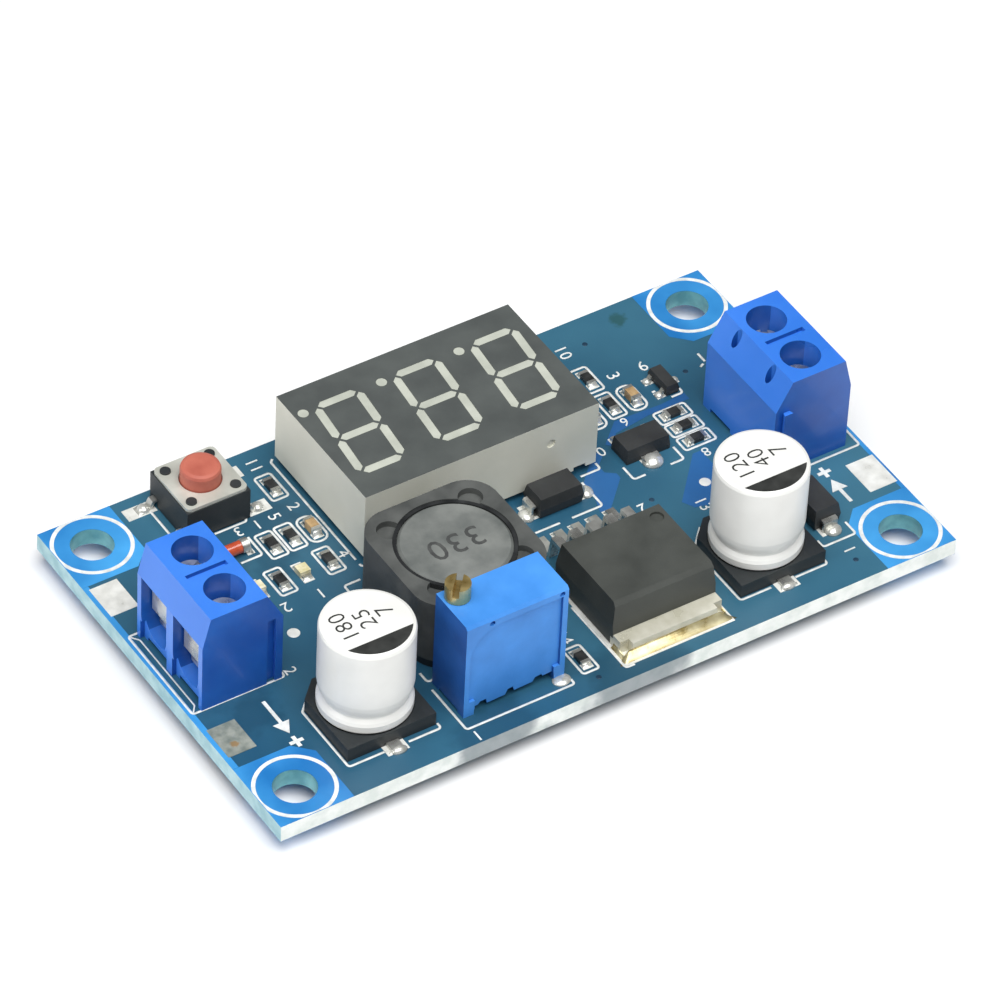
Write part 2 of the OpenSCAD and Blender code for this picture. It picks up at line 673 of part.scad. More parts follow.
module trimmer_screw() color([0.85, 0.68, 0.3])
    translate([trim_screw_at[0], trim_screw_at[1], zt + trim_h]) difference() {
        union() {
            translate([0, 0, 0.05]) cylinder(r = trim_screw_r, h = trim_screw_h - 0.05);
            translate([0, 0, -trim_shank]) cylinder(r = trim_bore_r - run, h = trim_shank + 0.2);
        }
        rotate([0, 0, 48]) translate([-2, -0.28, trim_screw_h - 0.75]) cube([4, 0.56, 2]);
    }

// ---- Push button ----

module switch_base() color([0.13, 0.13, 0.14]) translate([sw_x, sw_y, zt]) {
    deck = sw_h - cover_t;
    difference() {
        union() {
            translate([-sw_l / 2, -sw_l / 2, 0.1]) cube([sw_l, sw_l, deck - 0.1]);
            for (x = [-1, 1], y = [-1, 1])
                translate([x * (sw_l / 2 - 0.9), y * (sw_l / 2 - 0.9), deck - 0.2])
                    cylinder(r = 0.45, h = cover_t + 0.35);
        }
        // dome chamber
        translate([0, 0, 1.4]) cylinder(r = 2.3, h = sw_h);
        // foot channels for the leads
        for (x = [-1, 1], y = [-1, 1])
            translate([x * sw_l / 2, y * 2.25, 0.3]) cube([1.2, 0.9, 1.3], center = true);
    }
}

module switch_cover() color([0.75, 0.75, 0.73]) translate([sw_x, sw_y, zt + sw_h - cover_t])
    difference() {
        linear_extrude(height = cover_t) soft_square(sw_l - 0.2, sw_l - 0.2, 0.5);
        translate([0, 0, -1]) cylinder(r = plunger_r + 0.1, h = 3);
        for (x = [-1, 1], y = [-1, 1])
            translate([x * (sw_l / 2 - 0.9), y * (sw_l / 2 - 0.9), -1]) cylinder(r = 0.47, h = 3);
    }

module switch_leads() color([0.8, 0.8, 0.76]) translate([sw_x, sw_y, zt])
    for (x = [-1, 1], y = [-1, 1]) translate([0, y * 2.25, 0]) rotate([0, 0, x > 0 ? -90 : 90])
        along_x(0.7) gull(sw_l / 2 - 0.55, 0.85, sw_l / 2 + 1.3, 0.8, 0.2);

// Snap dome under the plunger
module switch_dome() color([0.8, 0.8, 0.8]) translate([sw_x, sw_y, zt + 1.42])
    rotate_extrude() polygon([
        [0, 0.5], [0.7, 0.45], [1.5, 0.25], [2.15, 0], [2.25, 0], [2.25, 0.08],
        [1.52, 0.35], [0.7, 0.55], [0, 0.6]]);

module switch_plunger() color([0.75, 0.3, 0.24]) translate([sw_x, sw_y, zt]) {
    flange = 2.15;
    rotate_extrude() polygon([
        [0, 2.32], [0.6, 2.32], [0.75, 2.5], [flange, 2.5], [flange, sw_h - cover_t - 0.05],
        [plunger_r, sw_h - cover_t - 0.05], [plunger_r, plunger_top - 0.35],
        [plunger_r - 0.1, plunger_top - 0.12], [plunger_r - 0.35, plunger_top], [0, plunger_top]]);
}

// ---- Small parts ----

module power_diodes() color([0.12, 0.12, 0.13]) for (p = diodes_at)
    on_board(p) moulded(diode_l, diode_w, 0.15, diode_h, diode_h / 2, 0.18, 0.12);
module power_diode_leads() color([0.78, 0.78, 0.75]) for (p = diodes_at, s = [-1, 1])
    on_board(p) rotate([0, 0, s > 0 ? -90 : 90]) translate([0, diode_l / 2, 0])
        along_x(1.4) polygon([
            [0.02, 1.2], [0.35, 1.2], [0.47, 1.05], [0.47, 0.1], [0.37, 0],
            [-0.75, 0], [-0.75, 0.13], [0.15, 0.13], [0.27, 0.25], [0.27, 0.95], [0.02, 1]]);

module small_regulator() color([0.2, 0.2, 0.21]) on_board(reg89_at)
    moulded(reg89_l, reg89_w, 0.02, 1.5, 0.45, 0.12, 0.02);
module small_regulator_leads() color([0.8, 0.8, 0.78]) on_board(reg89_at) {
    translate([-0.8, -reg89_w / 2 - 0.72, 0]) cube([1.6, 0.7, 0.4]);
    for (x = [-1.5, 0, 1.5]) translate([x - 0.22, reg89_w / 2 + seat, 0]) cube([0.44, 0.85, 0.4]);
}

module small_transistor() color([0.2, 0.2, 0.21]) on_board(sot23_at)
    moulded(1.3, 2.9, 0.08, 1.05, 0.55, 0.12, 0.06);
module small_transistor_leads() color([0.8, 0.8, 0.78]) on_board(sot23_at)
    for (p = [[-1, 0.95], [-1, -0.95], [1, 0]])
        translate([0, p[1], 0]) rotate([0, 0, p[0] > 0 ? -90 : 90])
            along_x(0.42) gull(0.66, 0.6, 1.25, 0.4, 0.14);

// Chip part: body between two plated ends
module chip_body(t) {
    translate([0, 0, t / 2]) cube([chip_l - 2 * (chip_end + 0.01), chip_w - 0.02, t], center = true);
}
module chip_ends(t) {
    for (s = [-1, 1]) translate([s * (chip_l - chip_end) / 2, 0, t / 2])
        cube([chip_end, chip_w, t], center = true);
}

module chip_resistors() color([0.12, 0.12, 0.13]) for (p = resistors_at) on_board(p) chip_body(0.45);
module chip_resistor_ends() color([0.8, 0.8, 0.78]) for (p = resistors_at) on_board(p) chip_ends(0.46);
module ceramic_capacitors() color([0.6, 0.42, 0.25]) for (p = ceramics_at) on_board(p) chip_body(0.78);
module ceramic_capacitor_ends() color([0.8, 0.8, 0.78]) for (p = ceramics_at) on_board(p) chip_ends(0.8);
module indicator_leds() color([0.9, 0.85, 0.6]) for (p = leds_at) on_board(p)
    translate([0, 0, 0.3]) cube([chip_l - 2 * (chip_end + 0.01), chip_w + 0.18, 0.6], center = true);
module indicator_led_ends() color([0.8, 0.8, 0.78]) for (p = leds_at) on_board(p) chip_ends(0.3);

// Cylindrical glass diode on its side
module glass_diode() color([0.8, 0.3, 0.2]) on_board(glass_at)
    translate([-1.05, 0, glass_r]) rotate([0, 90, 0]) cylinder(r = glass_r - 0.07, h = 2.1);
module glass_diode_caps() color([0.75, 0.75, 0.73]) on_board(glass_at)
    for (s = [-1, 1]) translate([s * 1.4 - 0.33, 0, glass_r]) rotate([0, 90, 0]) cylinder(r = glass_r, h = 0.66);

pcb();
out_terminal_housing();
in_terminal_housing();
out_contact_frames();
in_contact_frames();
out_minus_leaf();
out_plus_leaf();
in_minus_leaf();
in_plus_leaf();
out_minus_screw();
out_plus_screw();
in_minus_screw();
in_plus_screw();
display_housing();
display_segments();
display_substrate();
display_pins();
meter_chip();
meter_chip_leads();
inductor_shield();
inductor_drum();
inductor_winding();
inductor_glue();
inductor_base();
inductor_terminals();
capacitor_cans();
capacitor_bases();
capacitor_leads();
regulator_body();
regulator_tab();
regulator_leads();
trimmer_body();
trimmer_pins();
trimmer_screw();
switch_base();
switch_cover();
switch_leads();
switch_dome();
switch_plunger();
power_diodes();
power_diode_leads();
small_regulator();
small_regulator_leads();
small_transistor();
small_transistor_leads();
chip_resistors();
chip_resistor_ends();
ceramic_capacitors();
ceramic_capacitor_ends();
indicator_leds();
indicator_led_ends();
glass_diode();
glass_diode_caps();
solder_joints();
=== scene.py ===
import math
import bmesh
import bpy
from mathutils import Matrix, Vector


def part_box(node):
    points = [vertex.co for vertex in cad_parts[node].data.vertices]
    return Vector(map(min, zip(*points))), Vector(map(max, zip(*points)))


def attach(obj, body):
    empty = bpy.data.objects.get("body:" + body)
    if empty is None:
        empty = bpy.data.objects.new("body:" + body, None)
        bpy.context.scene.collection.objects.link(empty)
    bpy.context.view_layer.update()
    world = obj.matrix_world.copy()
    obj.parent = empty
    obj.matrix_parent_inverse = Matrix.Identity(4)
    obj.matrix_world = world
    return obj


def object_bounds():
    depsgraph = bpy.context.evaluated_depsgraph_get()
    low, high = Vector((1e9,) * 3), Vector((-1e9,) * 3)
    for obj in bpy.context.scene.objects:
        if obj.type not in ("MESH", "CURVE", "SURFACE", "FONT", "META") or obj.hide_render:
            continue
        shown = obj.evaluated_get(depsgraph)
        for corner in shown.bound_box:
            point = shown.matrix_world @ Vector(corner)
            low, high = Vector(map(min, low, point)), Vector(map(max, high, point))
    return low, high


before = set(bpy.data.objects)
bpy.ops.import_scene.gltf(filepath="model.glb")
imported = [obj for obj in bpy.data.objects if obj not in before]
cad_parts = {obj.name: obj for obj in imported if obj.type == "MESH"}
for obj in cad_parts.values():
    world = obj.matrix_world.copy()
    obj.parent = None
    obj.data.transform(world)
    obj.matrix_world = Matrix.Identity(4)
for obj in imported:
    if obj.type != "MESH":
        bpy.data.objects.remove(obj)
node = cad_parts
cad_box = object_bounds()

# ---------------------------------------------------------------- Board
# A two-layer glass-laminate board under a blue solder mask. Where copper lies beneath, the mask
# looks teal; where the copper is etched away, it is a brighter blue. The cut edges stay pale.


def finish(name, deep, pale, patch=300, rough=(0.4, 0.6), bump=0.2, grain=3000, metal=0.0, coat=0.0):
    """Two shades in soft patches, an uneven gloss and a fine grain, all fixed to the piece."""
    mat = bpy.data.materials.new(name)
    mat.use_nodes = True
    tree = mat.node_tree
    tree.nodes.clear()
    put, join = tree.nodes.new, tree.links.new
    out = put("ShaderNodeOutputMaterial")
    skin = put("ShaderNodeBsdfPrincipled")
    skin.name = "skin"
    place = put("ShaderNodeTexCoord")
    place.name = "place"
    clouds = put("ShaderNodeTexNoise")
    clouds.inputs["Scale"].default_value = patch
    clouds.inputs["Detail"].default_value = 4
    tones = put("ShaderNodeValToRGB")
    tones.name = "tones"
    tones.color_ramp.elements[0].position = 0.32
    tones.color_ramp.elements[0].color = (*deep, 1)
    tones.color_ramp.elements[1].position = 0.68
    tones.color_ramp.elements[1].color = (*pale, 1)
    specks = put("ShaderNodeTexNoise")
    specks.inputs["Scale"].default_value = grain
    specks.inputs["Detail"].default_value = 3
    gloss = put("ShaderNodeMapRange")
    gloss.name = "gloss"
    gloss.inputs["From Min"].default_value = 0.3
    gloss.inputs["From Max"].default_value = 0.7
    gloss.inputs["To Min"].default_value = rough[0]
    gloss.inputs["To Max"].default_value = rough[1]
    relief = put("ShaderNodeBump")
    relief.name = "relief"
    relief.inputs["Strength"].default_value = bump
    relief.inputs["Distance"].default_value = 0.00003
    join(place.outputs["Object"], clouds.inputs["Vector"])
    join(place.outputs["Object"], specks.inputs["Vector"])
    join(clouds.outputs["Fac"], tones.inputs["Fac"])
    join(tones.outputs["Color"], skin.inputs["Base Color"])
    join(clouds.outputs["Fac"], gloss.inputs["Value"])
    join(gloss.outputs["Result"], skin.inputs["Roughness"])
    join(specks.outputs["Fac"], relief.inputs["Height"])
    join(relief.outputs["Normal"], skin.inputs["Normal"])
    join(skin.outputs["BSDF"], out.inputs["Surface"])
    skin.inputs["Metallic"].default_value = metal
    skin.inputs["Coat Weight"].default_value = coat
    mat.diffuse_color = (*pale, 1)
    return mat


def shade_where(mat, deep, pale, tests, patch=700):
    """A second pair of shades where all tests hold: (normal or place, axis, comparison, limit)."""
    tree = mat.node_tree
    put, join = tree.nodes.new, tree.links.new
    under_it = tree.nodes["skin"].inputs["Base Color"].links[0].from_socket
    mask = None
    for source, axis, comparison, limit in tests:
        split, size, test = put("ShaderNodeSeparateXYZ"), put("ShaderNodeMath"), put("ShaderNodeMath")
        if source == "normal":
            join(put("ShaderNodeNewGeometry").outputs["True Normal"], split.inputs["Vector"])
        else:
            join(tree.nodes["place"].outputs["Object"], split.inputs["Vector"])
        size.operation, test.operation = "ABSOLUTE", comparison
        join(split.outputs[axis], size.inputs[0])
        join(size.outputs["Value"], test.inputs[0])
        test.inputs[1].default_value = limit
        if mask is None:
            mask = test.outputs["Value"]
        else:
            both = put("ShaderNodeMath")
            both.operation = "MULTIPLY"
            join(mask, both.inputs[0])
            join(test.outputs["Value"], both.inputs[1])
            mask = both.outputs["Value"]
    clouds, tones, blend = put("ShaderNodeTexNoise"), put("ShaderNodeValToRGB"), put("ShaderNodeMix")
    clouds.inputs["Scale"].default_value = patch
    clouds.inputs["Detail"].default_value = 5
    join(tree.nodes["place"].outputs["Object"], clouds.inputs["Vector"])
    for stop, spot, shade in zip(tones.color_ramp.elements, (0.35, 0.65), (deep, pale)):
        stop.position, stop.color = spot, (*shade, 1)
    join(clouds.outputs["Fac"], tones.inputs["Fac"])
    blend.data_type = "RGBA"
    join(mask, blend.inputs["Factor"])
    join(under_it, blend.inputs["A"])
    join(tones.outputs["Color"], blend.inputs["B"])
    join(blend.outputs["Result"], tree.nodes["skin"].inputs["Base Color"])
    return mat


def stain_and_shade(mat, spot, radius, shade, strength=0.7, ragged=0.6):
    """A blotch with a ragged soft edge round one place, in millimetres; used for stains and for painted
    shade.
    """
    tree = mat.node_tree
    put, join = tree.nodes.new, tree.links.new
    under_it = tree.nodes["skin"].inputs["Base Color"].links[0].from_socket
    away, clouds, mixed = put("ShaderNodeVectorMath"), put("ShaderNodeTexNoise"), put("ShaderNodeMath")
    away.operation, mixed.operation = "DISTANCE", "MULTIPLY_ADD"
    join(tree.nodes["place"].outputs["Object"], away.inputs[0])
    away.inputs[1].default_value = [c / 1000 for c in spot]
    clouds.inputs["Scale"].default_value = 1400 / radius
    clouds.inputs["Detail"].default_value = 4
    join(tree.nodes["place"].outputs["Object"], clouds.inputs["Vector"])
    join(clouds.outputs["Fac"], mixed.inputs[0])
    mixed.inputs[1].default_value = 2 * ragged * radius / 1000
    join(away.outputs["Value"], mixed.inputs[2])
    fade, blend = put("ShaderNodeMapRange"), put("ShaderNodeMix")
    fade.interpolation_type = "SMOOTHSTEP"
    fade.inputs["From Min"].default_value = (0.5 + ragged) * radius / 1000
    fade.inputs["From Max"].default_value = (1 + ragged) * radius / 1000
    fade.inputs["To Min"].default_value = strength
    fade.inputs["To Max"].default_value = 0
    join(mixed.outputs["Value"], fade.inputs["Value"])
    blend.data_type = "RGBA"
    join(fade.outputs["Result"], blend.inputs["Factor"])
    join(under_it, blend.inputs["A"])
    blend.inputs["B"].default_value = (*shade, 1)
    join(blend.outputs["Result"], tree.nodes["skin"].inputs["Base Color"])
    return mat


def dress(mat, *names):
    """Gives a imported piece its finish; the piece itself isn't touched."""
    for n in names:
        for place in node[n].material_slots:
            place.material = mat


def settled(maker):
    """The finished mesh of a curve, a number or a node tree, from millimetres to metres."""
    bpy.context.view_layer.update()
    graph = bpy.context.evaluated_depsgraph_get()
    mesh = bpy.data.meshes.new_from_object(maker.evaluated_get(graph))
    mesh.transform(Matrix.Scale(0.001, 4))
    bpy.data.objects.remove(maker)
    return mesh


def add_piece(name, mesh, mat, body="root"):
    """Hangs a finished mesh on its body, with its material."""
    piece = bpy.data.objects.new(name, mesh)
    bpy.context.scene.collection.objects.link(piece)
    mesh.materials.clear()
    mesh.materials.append(mat)
    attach(piece, body)
    return piece


def sheet_of(outlines, z, thick):
    """A thin sheet cut to closed outlines in millimetres; an outline inside another is an opening."""
    data = bpy.data.curves.new("outline", "CURVE")
    data.dimensions = "2D"
    data.fill_mode = "BOTH"
    data.extrude = thick / 2
    for points in outlines:
        line = data.splines.new("POLY")
        line.points.add(len(points) - 1)
        for p, (x, y) in zip(line.points, points):
            p.co = (x, y, 0, 1)
        line.use_cyclic_u = True
    maker = bpy.data.objects.new("outline", data)
    bpy.context.scene.collection.objects.link(maker)
    mesh = settled(maker)
    mesh.transform(Matrix.Translation((0, 0, (z + thick / 2) / 1000)))
    return mesh


def oblong(x0, y0, x1, y1):
    return [(x0, y0), (x1, y0), (x1, y1), (x0, y1)]


def ring(cx, cy, r, steps=48, start=0.0, sweep=360.0):
    turns = [math.radians(start + sweep * i / steps) for i in range(steps if sweep == 360 else steps + 1)]
    return [(cx + r * math.cos(t), cy + r * math.sin(t)) for t in turns]


pcb_lo, pcb_hi = (v * 1000 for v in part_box("pcb"))
top, under = pcb_hi.z, pcb_lo.z
half_l, half_w = pcb_hi.x, pcb_hi.y
hole_x, hole_y, hole_r = half_l - 3.3, half_w - 3.3, 1.83

mask_teal = finish("mask_over_copper", (0.013, 0.075, 0.14), (0.04, 0.15, 0.225),
                   patch=45, rough=(0.3, 0.42), bump=0.12, grain=2600, coat=0.12)
# Painted light on the cut laminate, a pale grey-green: all cut faces get a darker teal, which stays inside
# the bolt holes, and over it the long sides a whiter shade and the short ends a bluer one, as each face is
# lit.
side = ("normal", "Z", "LESS_THAN", 0.5)
shade_where(mask_teal, (0.1, 0.34, 0.4), (0.2, 0.52, 0.56), [side])
long_edges = [side, ("place", "Y", "GREATER_THAN", half_w / 1000 - 1e-5)]
short_edges = [side, ("place", "X", "GREATER_THAN", half_l / 1000 - 1e-5)]
shade_where(mask_teal, (0.72, 0.78, 0.74), (0.92, 0.95, 0.92), long_edges)
shade_where(mask_teal, (0.22, 0.44, 0.5), (0.4, 0.62, 0.66), short_edges)
stain_and_shade(mask_teal, (23.2, 17.4, top), 1.0, (0.012, 0.06, 0.04), 0.6)
# Painted shade round the parts: darker patches of the mask beside the out terminal, in front of the
# regulator and the trimmer, and near the switch: x, y and radius. They reach through the board to its
# underside.
for x, y, radius in ((1, -18.5, 6), (-28, -7.5, 3.5), (-12, -19, 5), (-17, 9, 6)):
    stain_and_shade(mask_teal, (x, y, top), radius, (0.008, 0.05, 0.09), 0.65, 0.8)
mask_bare = finish("mask_over_laminate", (0.012, 0.16, 0.45), (0.06, 0.36, 0.76),
                   patch=110, rough=(0.3, 0.42), bump=0.12, grain=2600, coat=0.12)
mask_gap = finish("mask_over_gaps", (0.014, 0.085, 0.25), (0.025, 0.13, 0.34),
                  patch=110, rough=(0.3, 0.42), bump=0.12, grain=2600, coat=0.12)
dress(mask_teal, "pcb")

# Etched gaps on the component side: the four corners round the bolt holes, a narrow margin along
# the ends, and the wide diagonal gaps between the copper areas.
corners = []
for sx in (-1, 1):
    for sy in (-1, 1):
        ends = [(half_l, half_w), (half_l, 11.9), (27.2, 11.9), (25.7, 13.4), (25.7, half_w)]
        corners.append([(sx * x, sy * y) for x, y in ends])
        corners.append(ring(sx * hole_x, sy * hole_y, hole_r + 0.01, 40))
margins = [oblong(-half_l, -11.88, -31.95, 11.88), oblong(32.1, -11.88, half_l, 11.88)]
gaps = [
    [(8.9, -1.7), (9.8, -1.9), (12.6, 0.9), (12.6, 1.5), (11.8, 2.1), (11.8, 3.0),
     (12.9, 4.0), (12.3, 4.6), (9.6, 1.9), (9.6, 0.4)],
    [(15.4, -4.1), (16.0, -5.2), (17.2, -5.5), (20.2, -2.6), (20.2, 0.3), (19.4, 0.3)],
    [(13.7, 4.9), (15.9, 6.9), (20.4, 6.7), (22.9, 6.9),
     (22.9, 6.1), (18.8, 6.1), (15.2, 5.6), (14.2, 4.3)],
]
add_piece("etched_margins_top", sheet_of(corners + margins, top, 0.02), mask_bare)
add_piece("etched_gaps_top", sheet_of(gaps, top, 0.02), mask_gap)

# ---------------------------------------------------------------- Tinned pads
# Bare copper lands, levelled with tin: the four wire lands at the ends, and the lands that the
# surface parts are soldered to.
tin = finish("tinned_land", (0.72, 0.72, 0.67), (0.93, 0.93, 0.88), patch=900, rough=(0.25, 0.45),
             bump=0.5, grain=1500, metal=0.2)
# One wire land is given a darker grey than the other three; the speck on it is rust.
tin_darker = finish("dull_land", (0.2, 0.23, 0.2), (0.34, 0.36, 0.32), patch=1500, rough=(0.5, 0.75),
                  bump=0.6, grain=1800, metal=0.35)


def parts_of(name):
    """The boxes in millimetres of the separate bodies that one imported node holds."""
    bm = bmesh.new()
    bm.from_mesh(node[name].data)
    bmesh.ops.remove_doubles(bm, verts=bm.verts, dist=1e-6)
    left, boxes = set(bm.verts), []
    while left:
        front = [left.pop()]
        found = list(front)
        while front:
            v = front.pop()
            for e in v.link_edges:
                w = e.other_vert(v)
                if w in left:
                    left.remove(w)
                    front.append(w)
                    found.append(w)
        lo = Vector((min(v.co.x for v in found), min(v.co.y for v in found), min(v.co.z for v in found)))
        hi = Vector((max(v.co.x for v in found), max(v.co.y for v in found), max(v.co.z for v in found)))
        boxes.append((lo * 1000, hi * 1000))
    bm.free()
    return sorted(boxes, key=lambda b: (round(b[0].x, 3), round(b[0].y, 3)))


def toes_of(ends_name, bodies_name):
    """Each tinned end of a chip part: the middle of its outer foot, its outward turn and its size."""
    found = []
    bodies = [((lo + hi) / 2) for lo, hi in parts_of(bodies_name)]
    for lo, hi in parts_of(ends_name):
        mid = (lo + hi) / 2
        home = min(bodies, key=lambda b: (b - mid).length)
        out = mid - home
        if abs(out.x) > abs(out.y):
            way = 0.0 if out.x > 0 else math.pi
            foot = (hi.x if out.x > 0 else lo.x, mid.y)
            wide = hi.y - lo.y
        else:
            way = math.pi / 2 if out.y > 0 else -math.pi / 2
            foot = (mid.x, hi.y if out.y > 0 else lo.y)
            wide = hi.x - lo.x
        found.append((foot, way, wide, hi.z - top))
    return found


chip_toes = []
for ends, bodies in (("chip_resistor_ends", "chip_resistors"),
                     ("ceramic_capacitor_ends", "ceramic_capacitors"),
                     ("indicator_led_ends", "indicator_leds"), ("glass_diode_caps", "glass_diode")):
    chip_toes += toes_of(ends, bodies)


def land(foot, way, wide, back, ahead):
    """A rectangle under one foot, from back behind its edge to ahead in front of it."""
    c, s = math.cos(way), math.sin(way)
    pts = [(-back, -wide / 2), (ahead, -wide / 2), (ahead, wide / 2), (-back, wide / 2)]
    return [(foot[0] + c * x - s * y, foot[1] + s * x + c * y) for x, y in pts]


lands = [oblong(-32.1, 7.9, -29.5, 11.5), oblong(29.6, -11.0, 32.3, -7.3), oblong(29.6, 7.7, 32.3, 11.4)]
lands += [land(f, w, wide + 0.16, 0.3, 0.38) for f, w, wide, tall in chip_toes]
for lo, hi in parts_of("capacitor_leads"):
    lands.append(oblong(lo.x - 0.45, lo.y - 0.25, hi.x + 0.45, hi.y + 0.25))
for lo, hi in parts_of("switch_leads"):
    out = 1 if hi.x > -19 else -1
    x0, x1 = (hi.x - 1.2, hi.x + 0.9) if out > 0 else (lo.x - 1.5, lo.x + 1.2)
    lands.append(oblong(x0, (lo.y + hi.y) / 2 - 0.68, x1, (lo.y + hi.y) / 2 + 0.68))
lead_xs = (2.7, 4.4, 6.1, 7.8, 9.5)
lands += [oblong(0.85, -17.95, 11.45, -8.6)]
lands += [oblong(x - 0.55, -3.6, x + 0.55, -1.8) for x in lead_xs]
for lo, hi in parts_of("power_diode_leads"):
    mid = (lo + hi) / 2
    lands.append(oblong(mid.x - 0.95, mid.y - 0.95, mid.x + 0.95, mid.y + 0.95))
for lo, hi in parts_of("small_transistor_leads"):
    lands.append(oblong(lo.x - 0.15, lo.y - 0.18, hi.x + 0.15, hi.y + 0.18))
for lo, hi in parts_of("small_regulator_leads"):
    lands.append(oblong(lo.x - 0.1, lo.y - 0.15, hi.x + 0.1, hi.y + 0.2))
add_piece("tinned_lands", sheet_of(lands, top, 0.035), tin)
stain_and_shade(tin_darker, (-30.9, -9.5, top), 0.45, (0.3, 0.17, 0.05), 0.8)
add_piece("dull_land", sheet_of([oblong(-32.1, -10.6, -29.5, -7.1)], top, 0.035), tin_darker)

# ---------------------------------------------------------------- Solder on the top side
# Each chip part stands in a small concave fillet at either end, and the tall tabs in a longer one.
# The fillets are one wedge set out on points; the round drops are one dome.
solder = finish("solder", (0.5, 0.5, 0.45), (0.85, 0.85, 0.8), patch=1200, rough=(0.16, 0.34),
                bump=0.35, grain=1400, metal=0.5)
solder_gold = finish("flux_stained_solder", (0.4, 0.3, 0.1), (0.72, 0.66, 0.42),
                     patch=700, rough=(0.2, 0.4), bump=0.4, grain=1300, metal=0.6)


def spread_tree():
    """Sets one piece out on points, each with its own turn and size."""
    tree = bpy.data.node_groups.new("set_out_on_points", "GeometryNodeTree")
    face = tree.interface
    face.new_socket("Points", in_out="INPUT", socket_type="NodeSocketGeometry")
    face.new_socket("Piece", in_out="INPUT", socket_type="NodeSocketObject")
    face.new_socket("Finish", in_out="INPUT", socket_type="NodeSocketMaterial")
    face.new_socket("Pieces", in_out="OUTPUT", socket_type="NodeSocketGeometry")
    put, join = tree.nodes.new, tree.links.new
    given, made = put("NodeGroupInput"), put("NodeGroupOutput")
    piece = put("GeometryNodeObjectInfo")
    join(given.outputs["Piece"], piece.inputs["Object"])
    turn, size = put("GeometryNodeInputNamedAttribute"), put("GeometryNodeInputNamedAttribute")
    for n, word in ((turn, "turn"), (size, "size")):
        n.data_type = "FLOAT_VECTOR"
        n.inputs["Name"].default_value = word
    spin = put("FunctionNodeEulerToRotation")
    join(turn.outputs["Attribute"], spin.inputs["Euler"])
    place = put("GeometryNodeInstanceOnPoints")
    join(given.outputs["Points"], place.inputs["Points"])
    join(piece.outputs["Geometry"], place.inputs["Instance"])
    join(spin.outputs["Rotation"], place.inputs["Rotation"])
    join(size.outputs["Attribute"], place.inputs["Scale"])
    real, coat = put("GeometryNodeRealizeInstances"), put("GeometryNodeSetMaterial")
    join(place.outputs["Instances"], real.inputs["Geometry"])
    join(real.outputs["Geometry"], coat.inputs["Geometry"])
    join(given.outputs["Finish"], coat.inputs["Material"])
    join(coat.outputs["Geometry"], made.inputs["Pieces"])
    return tree


set_out = spread_tree()


def run_tree(maker, tree, values):
    """Runs a node tree on its maker, with the inputs given by name."""
    mod = maker.modifiers.new("maker", "NODES")
    mod.node_group = tree
    for item in tree.interface.items_tree:
        if item.in_out == "INPUT" and item.name in values:
            mod[item.identifier] = values[item.name]
    return settled(maker)


def spread(template, places, mat):
    """places: (x, y, z, turn about Z, (length, width, height)) in millimetres and radians."""
    model = bpy.data.objects.new("template", template)
    bpy.context.scene.collection.objects.link(model)
    mesh = bpy.data.meshes.new("points")
    mesh.from_pydata([p[:3] for p in places], [], [])
    turn = mesh.attributes.new("turn", "FLOAT_VECTOR", "POINT")
    size = mesh.attributes.new("size", "FLOAT_VECTOR", "POINT")
    for i, p in enumerate(places):
        turn.data[i].vector = (0, 0, p[3])
        size.data[i].vector = p[4]
    maker = bpy.data.objects.new("points", mesh)
    bpy.context.scene.collection.objects.link(maker)
    result = run_tree(maker, set_out, {"Piece": model, "Finish": mat})
    bpy.data.objects.remove(model)
    return result


def wedge():
    """A unit fillet: full height at the part, running out in a hollow curve."""
    bm = bmesh.new()
    rows = []
    for i in range(7):
        x = i / 6
        z = (1 - x) ** 2.2 * 0.97 + 0.03
        w = 0.5 * (1 + 0.12 * x) if i < 6 else 0.44
        rows.append([bm.verts.new(c) for c in ((x, -w, 0), (x, -w * 0.86, z), (x, w * 0.86, z), (x, w, 0))])
    for a, b in zip(rows, rows[1:]):
        for j in range(4):
            bm.faces.new((a[j], a[(j + 1) % 4], b[(j + 1) % 4], b[j]))
    bm.faces.new(rows[0])
    bm.faces.new(rows[-1][::-1])
    bmesh.ops.recalc_face_normals(bm, faces=bm.faces)
    for f in bm.faces:
        f.smooth = True
    mesh = bpy.data.meshes.new("wedge")
    bm.to_mesh(mesh)
    bm.free()
    return mesh


def dome():
    """A unit drop: radius 1, height 1, flat below."""
    bm = bmesh.new()
    bmesh.ops.create_uvsphere(bm, u_segments=20, v_segments=12, radius=1)
    low = [v for v in bm.verts if v.co.z < -1e-4]
    bmesh.ops.delete(bm, geom=low, context="VERTS")
    edge = [e for e in bm.edges if e.is_boundary]
    bmesh.ops.contextual_create(bm, geom=edge)
    bmesh.ops.recalc_face_normals(bm, faces=bm.faces)
    for f in bm.faces:
        f.smooth = len(f.verts) < 5
    mesh = bpy.data.meshes.new("dome")
    bm.to_mesh(mesh)
    bm.free()
    return mesh


fillets = [(f[0], f[1], top, w, (0.34, wide + 0.1, tall * 0.72)) for f, w, wide, tall in chip_toes]
for lo, hi in parts_of("capacitor_leads"):
    south = lo.y < -14
    fillets.append(((lo.x + hi.x) / 2, lo.y if south else hi.y, top, -math.pi / 2 if south else math.pi / 2,
                    (0.24, hi.x - lo.x + 0.5, 0.26)))
for lo, hi in parts_of("switch_leads"):
    east = hi.x > -19
    foot_x, way = (hi.x, 0) if east else (lo.x, math.pi)
    fillets.append((foot_x, (lo.y + hi.y) / 2, top, way, (0.8, 1.15, 0.22)))
for x in lead_xs:
    fillets.append((x, -2.1, top, math.pi / 2, (0.28, 0.98, 0.34)))
add_piece("chip_fillets", spread(wedge(), fillets, solder), solder)

